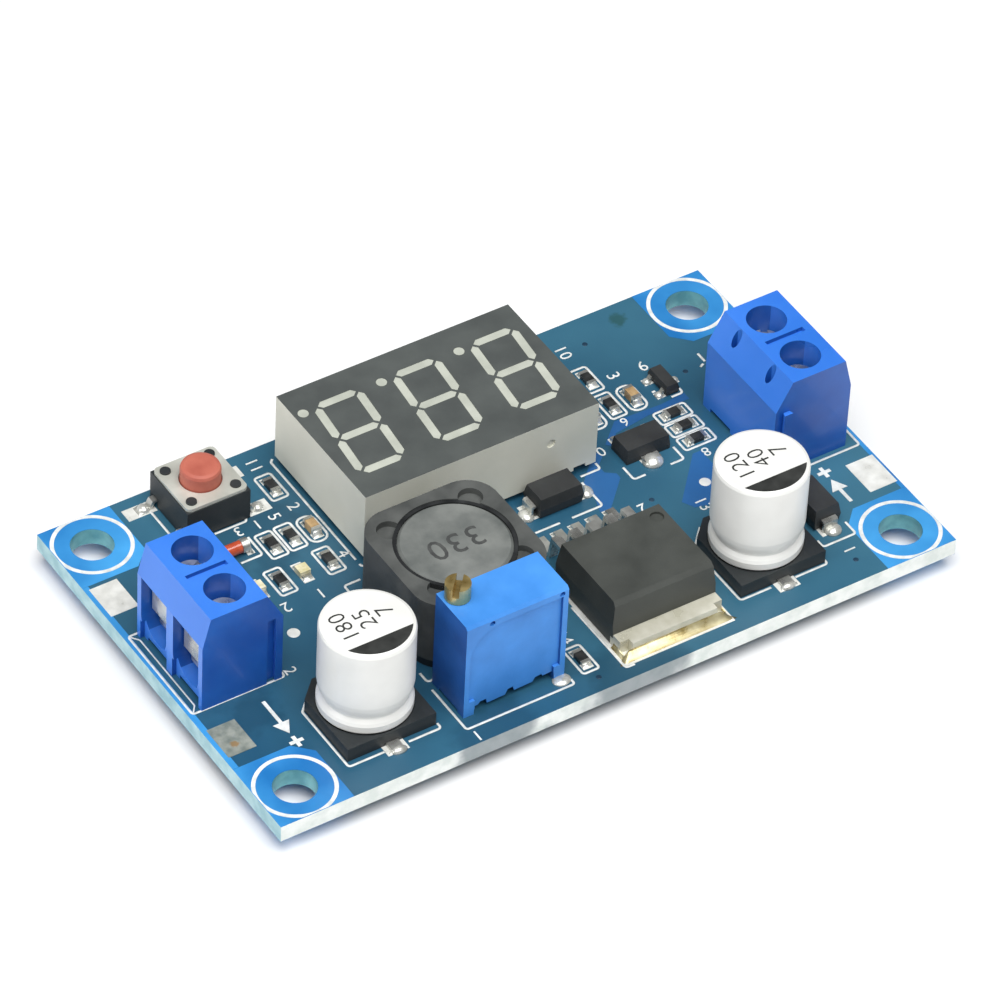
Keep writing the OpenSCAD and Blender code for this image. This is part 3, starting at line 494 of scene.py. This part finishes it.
tab_lo, tab_hi = (v * 1000 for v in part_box("regulator_tab"))
tab_mid = (tab_lo.x + tab_hi.x) / 2
tab_fillets = [(tab_mid, tab_lo.y, top, -math.pi / 2, (0.82, 10.3, 0.72)),
               (tab_lo.x, -16.3, top, math.pi, (0.28, 1.7, 0.5)),
               (tab_hi.x, -16.3, top, 0, (0.28, 1.7, 0.5))]
add_piece("tab_fillets", spread(wedge(), tab_fillets, solder_gold), solder_gold)

drops = [(16.0, 1.2, top, 0, (0.95, 0.9, 0.62)), (-4.5, -16.6, top, 0, (0.85, 0.7, 0.3)),
         (-19.95, -16.75, top, 0, (0.75, 0.42, 0.42)), (17.4, -16.85, top, 0, (0.72, 0.42, 0.4)),
         (24.3, -13.2, top, 0, (0.8, 0.75, 0.5)), (3.3, 0.9, top, 0, (0.7, 0.8, 0.5)),
         (9.1, 0.9, top, 0, (0.7, 0.8, 0.45))]
for lo, hi in parts_of("small_transistor_leads"):
    mid = (lo + hi) / 2
    out = -1 if mid.x < 22 else 1
    drops.append((mid.x + out * 0.18, mid.y, top, 0, (0.42, 0.4, 0.34)))
for lo, hi in parts_of("switch_leads"):
    east = hi.x > -19
    drops.append(((hi.x - 0.2 if east else lo.x + 0.2), (lo.y + hi.y) / 2, top, 0, (0.55, 0.6, 0.5)))
add_piece("solder_drops", spread(dome(), drops, solder), solder)

# ---------------------------------------------------------------- Printed lines and numbers
# White legend ink, screened on: outlines of the parts, rings round the bolt holes, plus
# signs, arrows for the flow of current, and plain numbers.
ink = finish("legend_ink", (0.62, 0.64, 0.62), (0.86, 0.87, 0.85), patch=1500, rough=(0.5, 0.7),
             bump=0.4, grain=4000)


def stroke_tree():
    """Lays a flat strip of ink along every path."""
    tree = bpy.data.node_groups.new("lay_ink_on_path", "GeometryNodeTree")
    face = tree.interface
    face.new_socket("Paths", in_out="INPUT", socket_type="NodeSocketGeometry")
    face.new_socket("Line Width", in_out="INPUT", socket_type="NodeSocketFloat")
    face.new_socket("Ink Thickness", in_out="INPUT", socket_type="NodeSocketFloat")
    face.new_socket("Corner Radius", in_out="INPUT", socket_type="NodeSocketFloat")
    face.new_socket("Ink", in_out="INPUT", socket_type="NodeSocketMaterial")
    face.new_socket("Strips", in_out="OUTPUT", socket_type="NodeSocketGeometry")
    put, join = tree.nodes.new, tree.links.new
    given, made = put("NodeGroupInput"), put("NodeGroupOutput")
    soft = put("GeometryNodeFilletCurve")
    soft.mode = "POLY"
    soft.inputs["Count"].default_value = 4
    soft.inputs["Limit Radius"].default_value = True
    join(given.outputs["Paths"], soft.inputs["Curve"])
    join(given.outputs["Corner Radius"], soft.inputs["Radius"])
    level = put("GeometryNodeSetCurveNormal")
    level.mode = "Z_UP"
    join(soft.outputs["Curve"], level.inputs["Curve"])
    section = put("GeometryNodeCurvePrimitiveQuadrilateral")
    join(given.outputs["Line Width"], section.inputs["Width"])
    join(given.outputs["Ink Thickness"], section.inputs["Height"])
    body = put("GeometryNodeCurveToMesh")
    body.inputs["Fill Caps"].default_value = True
    join(level.outputs["Curve"], body.inputs["Curve"])
    join(section.outputs["Curve"], body.inputs["Profile Curve"])
    real, coat = put("GeometryNodeRealizeInstances"), put("GeometryNodeSetMaterial")
    join(body.outputs["Mesh"], real.inputs["Geometry"])
    join(real.outputs["Geometry"], coat.inputs["Geometry"])
    join(given.outputs["Ink"], coat.inputs["Material"])
    join(coat.outputs["Geometry"], made.inputs["Strips"])
    return tree


lay_ink = stroke_tree()


def strips(paths, width, z, mat, bend=0.25, thick=0.04):
    """Flat strips along open or closed paths in millimetres; a closed path repeats its first point."""
    data = bpy.data.curves.new("paths", "CURVE")
    data.dimensions = "3D"
    for points in paths:
        shut = len(points) > 3 and points[0] == points[-1]
        points = points[:-1] if shut else points
        line = data.splines.new("POLY")
        line.points.add(len(points) - 1)
        for p, (x, y) in zip(line.points, points):
            p.co = (x, y, z, 1)
        line.use_cyclic_u = shut
    maker = bpy.data.objects.new("paths", data)
    bpy.context.scene.collection.objects.link(maker)
    values = {"Line Width": width, "Ink Thickness": thick, "Corner Radius": bend, "Ink": mat}
    return run_tree(maker, lay_ink, values)


def boxed(cx, cy, l, w, turned):
    """A closed outline round a small part."""
    x, y = (w / 2, l / 2) if turned else (l / 2, w / 2)
    return [(cx - x, cy - y), (cx + x, cy - y), (cx + x, cy + y), (cx - x, cy + y), (cx - x, cy - y)]


lines, thin, round_boxes, rings = [], [], [], []
for sx in (-1, 1):
    for sy in (-1, 1):
        outer = ring(sx * hole_x, sy * hole_y, 3.48, 96)
        rings.append([(max(-32.46, min(32.46, x)), max(-19.21, min(19.21, y))) for x, y in outer])
        rings.append(ring(sx * hole_x, sy * hole_y, 3.14, 72))
lines += [
    [(-31.0, 5.2), (-32.1, 5.2), (-32.1, -5.0), (-23.5, -5.0), (-23.5, -4.4)],
    [(31.2, 5.0), (32.1, 5.0), (32.1, -5.75), (23.3, -5.75), (23.3, -5.1)],
    [(-14.1, -12.3), (-14.1, -17.5), (-3.8, -17.5), (-3.8, -16.9)],
    [(-13.95, 0.6), (-13.95, 1.45), (-12.4, 1.45)], [(-13.95, -10.2), (-13.95, -11.35), (-13.1, -11.35)],
    [(-22.5, -7.25), (-24.4, -9.2), (-24.4, -16.3), (-21.1, -16.3)],
    [(-18.8, -16.3), (-15.75, -16.3), (-15.75, -15.7)],
    [(15.0, -7.4), (13.1, -9.4), (13.1, -16.25), (16.1, -16.25)],
    [(18.5, -16.25), (21.7, -16.25), (21.7, -15.6)],
    [(0.75, -10.0), (0.75, -18.05), (1.6, -18.05)],
    [(2.9, -1.15), (5.3, -1.15)], [(6.5, -1.15), (9.5, -1.15), (9.5, 2.0)],
    [(22.5, -13.6), (22.5, -14.45), (25.75, -14.45), (25.75, -12.9)],
    [(13.45, 1.8), (13.45, 0.15), (14.6, 0.15)], [(17.1, 0.15), (18.45, 0.15), (18.45, 1.8)],
    [(-11.5, 3.6), (-11.5, 17.0), (-11.2, 17.3)],
    [(9.8, 2.65), (11.75, 2.65), (11.75, 3.4)], [(-11.5, 3.0), (-11.5, 2.65), (2.5, 2.65)],
    [(-23.1, 13.1), (-23.1, 16.9)], [(-19.9, 12.0), (-16.9, 12.0), (-16.7, 12.4)],
    [(-19.8, 7.95), (-17.75, 7.95), (-17.75, 10.3)],
    [(21.7, 7.0), (22.85, 7.0), (22.85, 7.6)], [(20.6, 8.3), (20.9, 8.3)],
    [(26.6, 9.3), (26.6, 10.4)], [(25.9, 8.9), (26.3, 9.1)],
]
thin += [[(-31.95, 5.05), (-31.45, 4.4), (-31.45, -4.2), (-31.95, -4.85)]]
for lo, hi in parts_of("chip_resistors"):
    mid, turned = (lo + hi) / 2, hi.y - lo.y > hi.x - lo.x
    lines.append(boxed(mid.x, mid.y, 3.1, 1.55, turned))
for lo, hi in parts_of("ceramic_capacitors"):
    mid = (lo + hi) / 2
    round_boxes.append(boxed(mid.x, mid.y, 3.15, 1.65, True))
add_piece("legend_lines", strips(lines, 0.21, top + 0.03, ink), ink)
add_piece("legend_thin_lines", strips(thin, 0.13, top + 0.03, ink), ink)
add_piece("legend_round_outlines", strips(round_boxes, 0.21, top + 0.03, ink, bend=0.7), ink)
add_piece("bolt_hole_rings", sheet_of(rings, top + 0.02, 0.03), ink)


def arrow(x, y0, y1):
    """The outline of a plain arrow from y0 to its tip at y1."""
    way = 1 if y1 > y0 else -1
    neck = y1 - way * 1.35
    return [(x - 0.16, y0), (x + 0.16, y0), (x + 0.16, neck), (x + 0.75, neck), (x, y1),
            (x - 0.75, neck), (x - 0.16, neck)]


def plus_sign(x, y, arm=0.62, half=0.17):
    quarter = [(half, arm), (half, half), (arm, half)]
    corners_of = []
    for c, s in ((1, 0), (0, 1), (-1, 0), (0, -1)):
        corners_of += [(x + c * a + s * b, y - s * a + c * b) for a, b in quarter]
    return corners_of


signs = [arrow(-26.5, -6.6, -10.7), plus_sign(-26.5, -11.75),
         arrow(27.6, -11.1, -8.1), plus_sign(27.6, -7.1)]
add_piece("legend_arrows", sheet_of(signs, top + 0.01, 0.04), ink)


def number_mesh(words, z, thick=0.03, thin_by=0.0):
    """Plain numbers, each (text, x, y, height, turn in degrees), joined in one mesh."""
    bm = bmesh.new()
    for text, x, y, size, turn in words:
        data = bpy.data.curves.new("number", "FONT")
        data.body = text
        data.size = size * 1.4
        data.space_character = 1.08
        data.align_x, data.align_y = "CENTER", "CENTER"
        data.resolution_u = 3
        data.extrude = thick / 2
        data.offset = thin_by
        maker = bpy.data.objects.new("number", data)
        bpy.context.scene.collection.objects.link(maker)
        mesh = settled(maker)
        spot = Matrix.Translation((x / 1000, y / 1000, (z + thick / 2) / 1000))
        mesh.transform(spot @ Matrix.Rotation(math.radians(turn), 4, "Z"))
        bm.from_mesh(mesh)
        bpy.data.meshes.remove(mesh)
    mesh = bpy.data.meshes.new("numbers")
    bm.to_mesh(mesh)
    bm.free()
    return mesh


DOWN, FLIP, UP = -90, 180, 90
numbers = [
    ("11", -12.95, 17.4, 1.15, DOWN), ("3", -18.1, 11.3, 1.1, FLIP), ("1", -16.3, 11.25, 1.1, FLIP),
    ("5", -14.65, 11.3, 1.1, DOWN), ("2", -12.65, 11.55, 1.1, DOWN), ("4", -12.05, 4.7, 1.1, DOWN),
    ("10", 16.75, 16.2, 1.15, DOWN), ("3", 18.85, 11.65, 1.2, DOWN), ("9", 21.7, 11.5, 1.2, FLIP),
    ("6", 16.6, 6.45, 1.0, FLIP), ("0", 12.9, 4.4, 1.1, FLIP), ("8", 20.5, 0.0, 1.05, FLIP),
    ("2", 12.2, -3.1, 1.2, FLIP), ("13", 16.75, -5.2, 1.1, DOWN), ("1", 24.15, -15.8, 1.1, DOWN),
    ("1", -13.7, -18.45, 1.15, FLIP), ("2", -22.85, -4.7, 1.1, DOWN), ("14", -1.75, -12.6, 1.1, DOWN),
    ("1", -16.0, 1.75, 1.15, FLIP), ("2", -19.3, 1.75, 1.15, FLIP), ("7", 13.2, 9.4, 1.1, DOWN),
]
add_piece("legend_numbers", number_mesh(numbers, top + 0.02), ink)

# Plated through-holes under the mask, each with a dark dot of painted shade in its mouth, and the two bare
# register dots.
spots = [(24.5, 9.1), (24.0, -17.0), (-1.7, -17.8), (12.1, 12.9),
         (13.4, -2.6), (-22.3, -1.6), (19.0, 16.2), (26.2, -6.6)]
via_shade = finish("via_mouth_shade", (0.008, 0.03, 0.06), (0.015, 0.05, 0.09),
                  patch=900, rough=(0.3, 0.5), bump=0.2)
holes = [(x, y, top, 0, (0.24, 0.24, 0.03)) for x, y in spots]
add_piece("plated_holes", spread(dome(), holes, via_shade), via_shade)
dots = [(x, y, top, 0, (0.55, 0.55, 0.05)) for x, y in ((-20.3, -1.1), (18.4, -3.05))]
add_piece("register_dots", spread(dome(), dots, tin), tin)

# ---------------------------------------------------------------- Screw terminals
# Two-pole blocks moulded in bright blue nylon, round cage frames of tinned brass, plated steel
# clamping leaves and zinc-plated slotted screws down in their wells.
nylon = finish("blue_nylon", (0.028, 0.17, 0.66), (0.05, 0.22, 0.78), patch=90, rough=(0.26, 0.38),
               bump=0.12, grain=1500, coat=0.1)
skin = nylon.node_tree.nodes["skin"]
skin.inputs["Subsurface Weight"].default_value = 0.12
skin.inputs["Subsurface Radius"].default_value = (0.0004, 0.0008, 0.0016)
# Painted shade: the faces of both terminal blocks that turn towards the board's long edges get a darker
# blue than the rest.
shaded_y_sides = [("normal", "Y", "GREATER_THAN", 0.7)]
shade_where(nylon, (0.008, 0.08, 0.38), (0.014, 0.12, 0.5), shaded_y_sides, patch=150)
dress(nylon, "out_terminal_housing", "in_terminal_housing")
tinned = finish("tinned_brass", (0.45, 0.45, 0.42), (0.78, 0.78, 0.74), patch=600, rough=(0.2, 0.38),
                bump=0.3, grain=1600, metal=0.85)
dress(tinned, "out_contact_frames", "in_contact_frames", "out_minus_leaf", "out_plus_leaf", "in_minus_leaf",
      "in_plus_leaf", "capacitor_leads", "regulator_leads", "power_diode_leads", "small_regulator_leads",
      "small_transistor_leads", "switch_leads", "meter_chip_leads", "inductor_terminals", "display_pins",
      "trimmer_pins", "chip_resistor_ends", "ceramic_capacitor_ends", "indicator_led_ends",
      "glass_diode_caps")
zinc = finish("zinc_plate", (0.42, 0.44, 0.46), (0.7, 0.72, 0.74), patch=700, rough=(0.22, 0.4),
              bump=0.35, grain=2200, metal=0.9)
dress(zinc, "out_minus_screw", "out_plus_screw", "in_minus_screw", "in_plus_screw")

# ---------------------------------------------------------------- Display
# A cream moulded case, its face printed dark grey, with light pipes of warm grey resin that fill
# the segments, a potted sub-board behind and two rows of square pins.
case = finish("cream_moulding", (0.68, 0.68, 0.58), (0.8, 0.79, 0.69),
              patch=120, rough=(0.4, 0.55), bump=0.2, grain=2500)
face_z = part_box("display_housing")[1].z
printed_face = [("normal", "Z", "GREATER_THAN", 0.7), ("place", "Z", "GREATER_THAN", face_z - 0.00005)]
shade_where(case, (0.066, 0.074, 0.072), (0.086, 0.096, 0.092), printed_face, patch=300)
dress(case, "display_housing")
resin = finish("segment_resin", (0.42, 0.44, 0.38), (0.52, 0.54, 0.47),
               patch=500, rough=(0.3, 0.42), bump=0.15, grain=2000)
dress(resin, "display_segments")
potting = finish("potting_resin", (0.32, 0.34, 0.22), (0.5, 0.5, 0.36),
                 patch=400, rough=(0.3, 0.5), bump=0.3)
dress(potting, "display_substrate")
epoxy = finish("black_epoxy", (0.02, 0.021, 0.022), (0.034, 0.036, 0.036),
               patch=350, rough=(0.48, 0.62), bump=0.35, grain=5000)
dress(epoxy, "meter_chip", "small_regulator", "small_transistor", "power_diodes")

# ---------------------------------------------------------------- Power inductor
# A square ferrite shield with a wound drum set in its bore, held by dark glue in the corners and
# standing on a black moulded base with two wrapped terminals.
ferrite = finish("ferrite", (0.05, 0.054, 0.052), (0.095, 0.1, 0.095),
                 patch=420, rough=(0.55, 0.75), bump=0.6, grain=2600)
dress(ferrite, "inductor_shield")
drum_ferrite = finish("drum_ferrite", (0.1, 0.11, 0.105), (0.2, 0.21, 0.197),
                      patch=320, rough=(0.5, 0.7), bump=0.6, grain=2600)
dress(drum_ferrite, "inductor_drum")
copper = finish("enamelled_copper", (0.42, 0.13, 0.04), (0.62, 0.24, 0.09),
                patch=500, rough=(0.22, 0.36), bump=0.2, metal=0.7)
dress(copper, "inductor_winding")
glue = finish("dark_glue", (0.012, 0.013, 0.014), (0.03, 0.032, 0.033),
              patch=500, rough=(0.18, 0.4), bump=0.7, grain=900)
dress(glue, "inductor_glue")
black_moulding = finish("black_moulding", (0.014, 0.018, 0.02), (0.026, 0.03, 0.032),
                        patch=250, rough=(0.42, 0.58), bump=0.3, grain=3200)
dress(black_moulding, "inductor_base", "capacitor_bases", "switch_base")
drum_lo, drum_hi = (v * 1000 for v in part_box("inductor_drum"))
drum_mid = (drum_lo + drum_hi) / 2
stamp = finish("stamp_ink", (0.035, 0.037, 0.037), (0.07, 0.073, 0.07),
               patch=1300, rough=(0.6, 0.8), bump=0.3)
drum_number = number_mesh([("330", drum_mid.x, drum_mid.y, 2.3, FLIP)], drum_hi.z, 0.02)
add_piece("inductor_number", drum_number, stamp)

# ---------------------------------------------------------------- Electrolytic capacitors
# White-sleeved aluminium cans, rolled in near the foot where the rubber bung is held, on black
# chamfered bases. The minus side is a black segment on top, beside rows of plain numbers.
sleeve = finish("white_can", (0.74, 0.74, 0.71), (0.86, 0.86, 0.83),
                patch=160, rough=(0.3, 0.42), bump=0.12, grain=2200, coat=0.15)
dress(sleeve, "capacitor_cans")
can_ink = finish("can_ink", (0.012, 0.013, 0.012), (0.03, 0.032, 0.03),
                 patch=900, rough=(0.5, 0.7), bump=0.3)
marks, digits = [], []
for (lo, hi), rows in zip(parts_of("capacitor_cans"), (("180", "25", "7"), ("120", "40", "7"))):
    mid = (lo + hi) / 2
    r = (hi.x - lo.x) / 2 - 0.35
    chord = -1.95
    edge = math.degrees(math.asin(-chord / r))
    marks.append(ring(mid.x, mid.y, r, 28, 180 + edge, 180 - 2 * edge))
    for text, dx in zip(rows, (-1.85, 0.05, 1.9)):
        digits.append((text, mid.x + dx, mid.y + 0.45, 1.5, UP))
    can_top = hi.z
add_piece("can_minus_marks", sheet_of(marks, can_top, 0.02), can_ink)
add_piece("can_numbers", number_mesh(digits, can_top, 0.02, thin_by=-0.02), can_ink)

# ---------------------------------------------------------------- Switching regulator
# A five-lead power package in matt black epoxy, its tinned tab soldered down to a wide land.
power_epoxy = finish("power_epoxy", (0.04, 0.044, 0.039), (0.06, 0.065, 0.058),
                     patch=260, rough=(0.5, 0.66), bump=0.45, grain=5200)
dress(power_epoxy, "regulator_body")
tab_tin = finish("tinned_tab", (0.58, 0.56, 0.44), (0.82, 0.8, 0.7),
                 patch=420, rough=(0.25, 0.42), bump=0.35, grain=1200, metal=0.3)
dress(tab_tin, "regulator_tab")

# ---------------------------------------------------------------- Trimmer
# A many-turn trimmer potentiometer: a bright blue moulded case, potted at the foot, with a slotted
# brass lead screw at one end of its top.
case_blue = finish("trimmer_moulding", (0.045, 0.225, 0.64), (0.07, 0.3, 0.8),
                   patch=260, rough=(0.34, 0.5), bump=0.3, grain=2400)
# Painted shade: the two ends of the trimmer case get a darker blue than its top and sides.
shaded_x_ends = [("normal", "X", "GREATER_THAN", 0.7)]
shade_where(case_blue, (0.012, 0.075, 0.3), (0.02, 0.11, 0.4), shaded_x_ends, patch=300)
case_blue.node_tree.nodes["skin"].inputs["Specular IOR Level"].default_value = 0.3
dress(case_blue, "trimmer_body")
brass = finish("brass", (0.5, 0.33, 0.09), (0.78, 0.6, 0.26),
               patch=700, rough=(0.2, 0.4), bump=0.4, grain=1800, metal=0.9)
dress(brass, "trimmer_screw")

# ---------------------------------------------------------------- Push switch
# A tact switch: black base, pressed steel cover held by four black pegs, snap dome inside and a
# matt brick-red button.
steel = finish("cover_plate", (0.56, 0.57, 0.5), (0.74, 0.75, 0.68),
               patch=320, rough=(0.28, 0.45), bump=0.25, grain=1800, metal=0.4)
dress(steel, "switch_cover", "switch_dome")
red = finish("brick_red_moulding", (0.4, 0.09, 0.06), (0.54, 0.15, 0.1),
             patch=420, rough=(0.5, 0.66), bump=0.3, grain=3000)
dress(red, "switch_plunger")

# ---------------------------------------------------------------- Chip parts, lamps and glass diode
# Black thick-film resistors, tan ceramic capacitors, cream lamp lenses and one red-orange glass
# diode, all with tinned ends.
thick_film = finish("thick_film", (0.014, 0.015, 0.016), (0.035, 0.036, 0.036),
                    patch=1200, rough=(0.25, 0.45), bump=0.3)
dress(thick_film, "chip_resistors")
ceramic = finish("tan_ceramic", (0.36, 0.22, 0.1), (0.52, 0.36, 0.18),
                 patch=1400, rough=(0.3, 0.5), bump=0.3)
dress(ceramic, "ceramic_capacitors")
lamp = finish("cream_lens", (0.62, 0.56, 0.3), (0.86, 0.8, 0.6),
              patch=1500, rough=(0.15, 0.3), bump=0.2, coat=0.4)
dress(lamp, "indicator_leds")
glass = finish("red_glass", (0.4, 0.05, 0.02), (0.62, 0.12, 0.05),
               patch=1000, rough=(0.06, 0.14), bump=0.1, coat=0.6)
dress(glass, "glass_diode")
dress(solder, "solder_joints")

# ---------------------------------------------------------------- Underside
# The far side carries one ground area, four etched corners, the islands of the plus lines and a
# few short tracks, all under the same mask. A known fault: of the two outlines round the plus
# islands, one comes out filled in and the other doesn't show.
far = []
for sx in (-1, 1):
    for sy in (-1, 1):
        ends = [(half_l, half_w), (half_l, 11.9), (27.4, 11.9), (25.9, 13.4), (25.9, half_w)]
        far.append([(sx * x, sy * y) for x, y in ends])
        far.append(ring(sx * hole_x, sy * hole_y, hole_r + 0.01, 40))
far += [oblong(-half_l, -11.88, -31.8, 11.88), oblong(32.0, -11.88, half_l, 11.88),
        oblong(-31.8, -1.0, -26.2, 0.0), oblong(-26.2, -11.5, -25.2, 0.0),
        oblong(26.3, -0.9, 32.0, 0.3), oblong(25.5, -11.5, 26.3, 0.3)]
add_piece("etched_gaps_under", sheet_of(far, under - 0.02, 0.02), mask_bare)
tracks = [[(-13.1, 16.4), (-11.8, 16.2), (-10, 14.5)], [(-13, 11.4), (-11.5, 11.4), (-10, 10.5)],
          [(-4.9, 11.5), (-4.9, 8.5), (-3.65, 7.2), (-3.65, 5)], [(-3.6, 11.4), (-3.6, 8.6), (-1.1, 6)],
          [(1.9, 6.9), (6, 6.9)], [(-14.9, 3.7), (-10.9, 3.8)], [(-1.4, 17.4), (0.9, 16)]]
add_piece("tracks_under", strips(tracks, 0.3, under - 0.01, mask_bare), mask_bare)
# Painted shade: the cooling holes under the regulator's tab and the through-holes show on the underside as
# dark dots.
cooling = [(x, y) for x in (2.7, 4.5, 6.3, 8.1, 9.9) for y in (-10.8, -12.4, -14, -15.6, -17)]
under_holes = [(x, y, under, 0, (0.28, 0.28, -0.03)) for x, y in cooling + spots]
add_piece("cooling_holes_under", spread(dome(), under_holes, via_shade), via_shade)

# ---------------------------------------------------------------- Floor, lights and camera
# A pale floor under large soft lights, seen from the left front and well above.
floor_mesh = bpy.data.meshes.new("floor")
floor_mesh.from_pydata([(-3, -3, 0), (3, -3, 0), (3, 3, 0), (-3, 3, 0)], [], [(0, 1, 2, 3)])
floor = bpy.data.objects.new("floor", floor_mesh)
bpy.context.scene.collection.objects.link(floor)
paper = finish("pale_floor", (0.86, 0.86, 0.86), (0.9, 0.9, 0.9), patch=3, rough=(0.6, 0.7), bump=0.0)
floor_mesh.materials.append(paper)

world = bpy.data.worlds.new("soft_room")
bpy.context.scene.world = world
world.use_nodes = True
world.node_tree.nodes["Background"].inputs["Color"].default_value = (0.95, 0.975, 1.0, 1)
world.node_tree.nodes["Background"].inputs["Strength"].default_value = 0.14


def soft_light(name, spot, size, power, tint=(1, 1, 1)):
    data = bpy.data.lights.new(name, "AREA")
    data.size = size
    data.energy = power
    data.color = tint
    lamp_obj = bpy.data.objects.new(name, data)
    lamp_obj.location = spot
    lamp_obj.rotation_euler = Vector(spot).to_track_quat("Z", "Y").to_euler()
    bpy.context.scene.collection.objects.link(lamp_obj)


soft_light("overhead", (-0.04, -0.2, 0.64), 0.65, 6.6)
soft_light("left", (-0.68, 0.08, 0.36), 0.4, 2.0)

turn, climb, tilt = math.radians(-35.76), math.radians(44.612), math.radians(3.864)
back = Vector((math.sin(turn) * math.cos(climb), -math.cos(turn) * math.cos(climb), math.sin(climb)))
right = Vector((math.cos(turn), math.sin(turn), 0))
rise = right.cross(-back)
lens_up = rise * math.cos(tilt) - right * math.sin(tilt)
board_point = Vector((0.077, -15.907, 3.1))
distance = 590.373
eye = (board_point + back * distance) / 1000
aim = (cad_box[0] + cad_box[1]) / 2
z_axis = (eye - aim).normalized()
x_axis = lens_up.cross(z_axis).normalized()
y_axis = z_axis.cross(x_axis)
cam_data = bpy.data.cameras.new("camera")
cam_data.sensor_width = 36
cam_data.lens = 263
cam_data.clip_start = 0.01
camera = bpy.data.objects.new("camera", cam_data)
bpy.context.scene.collection.objects.link(camera)
camera.matrix_world = Matrix.Translation(eye) @ Matrix((x_axis, y_axis, z_axis)).transposed().to_4x4()
bpy.context.scene.camera = camera
bpy.context.scene.view_settings.view_transform = "Standard"

bpy.context.view_layer.update()
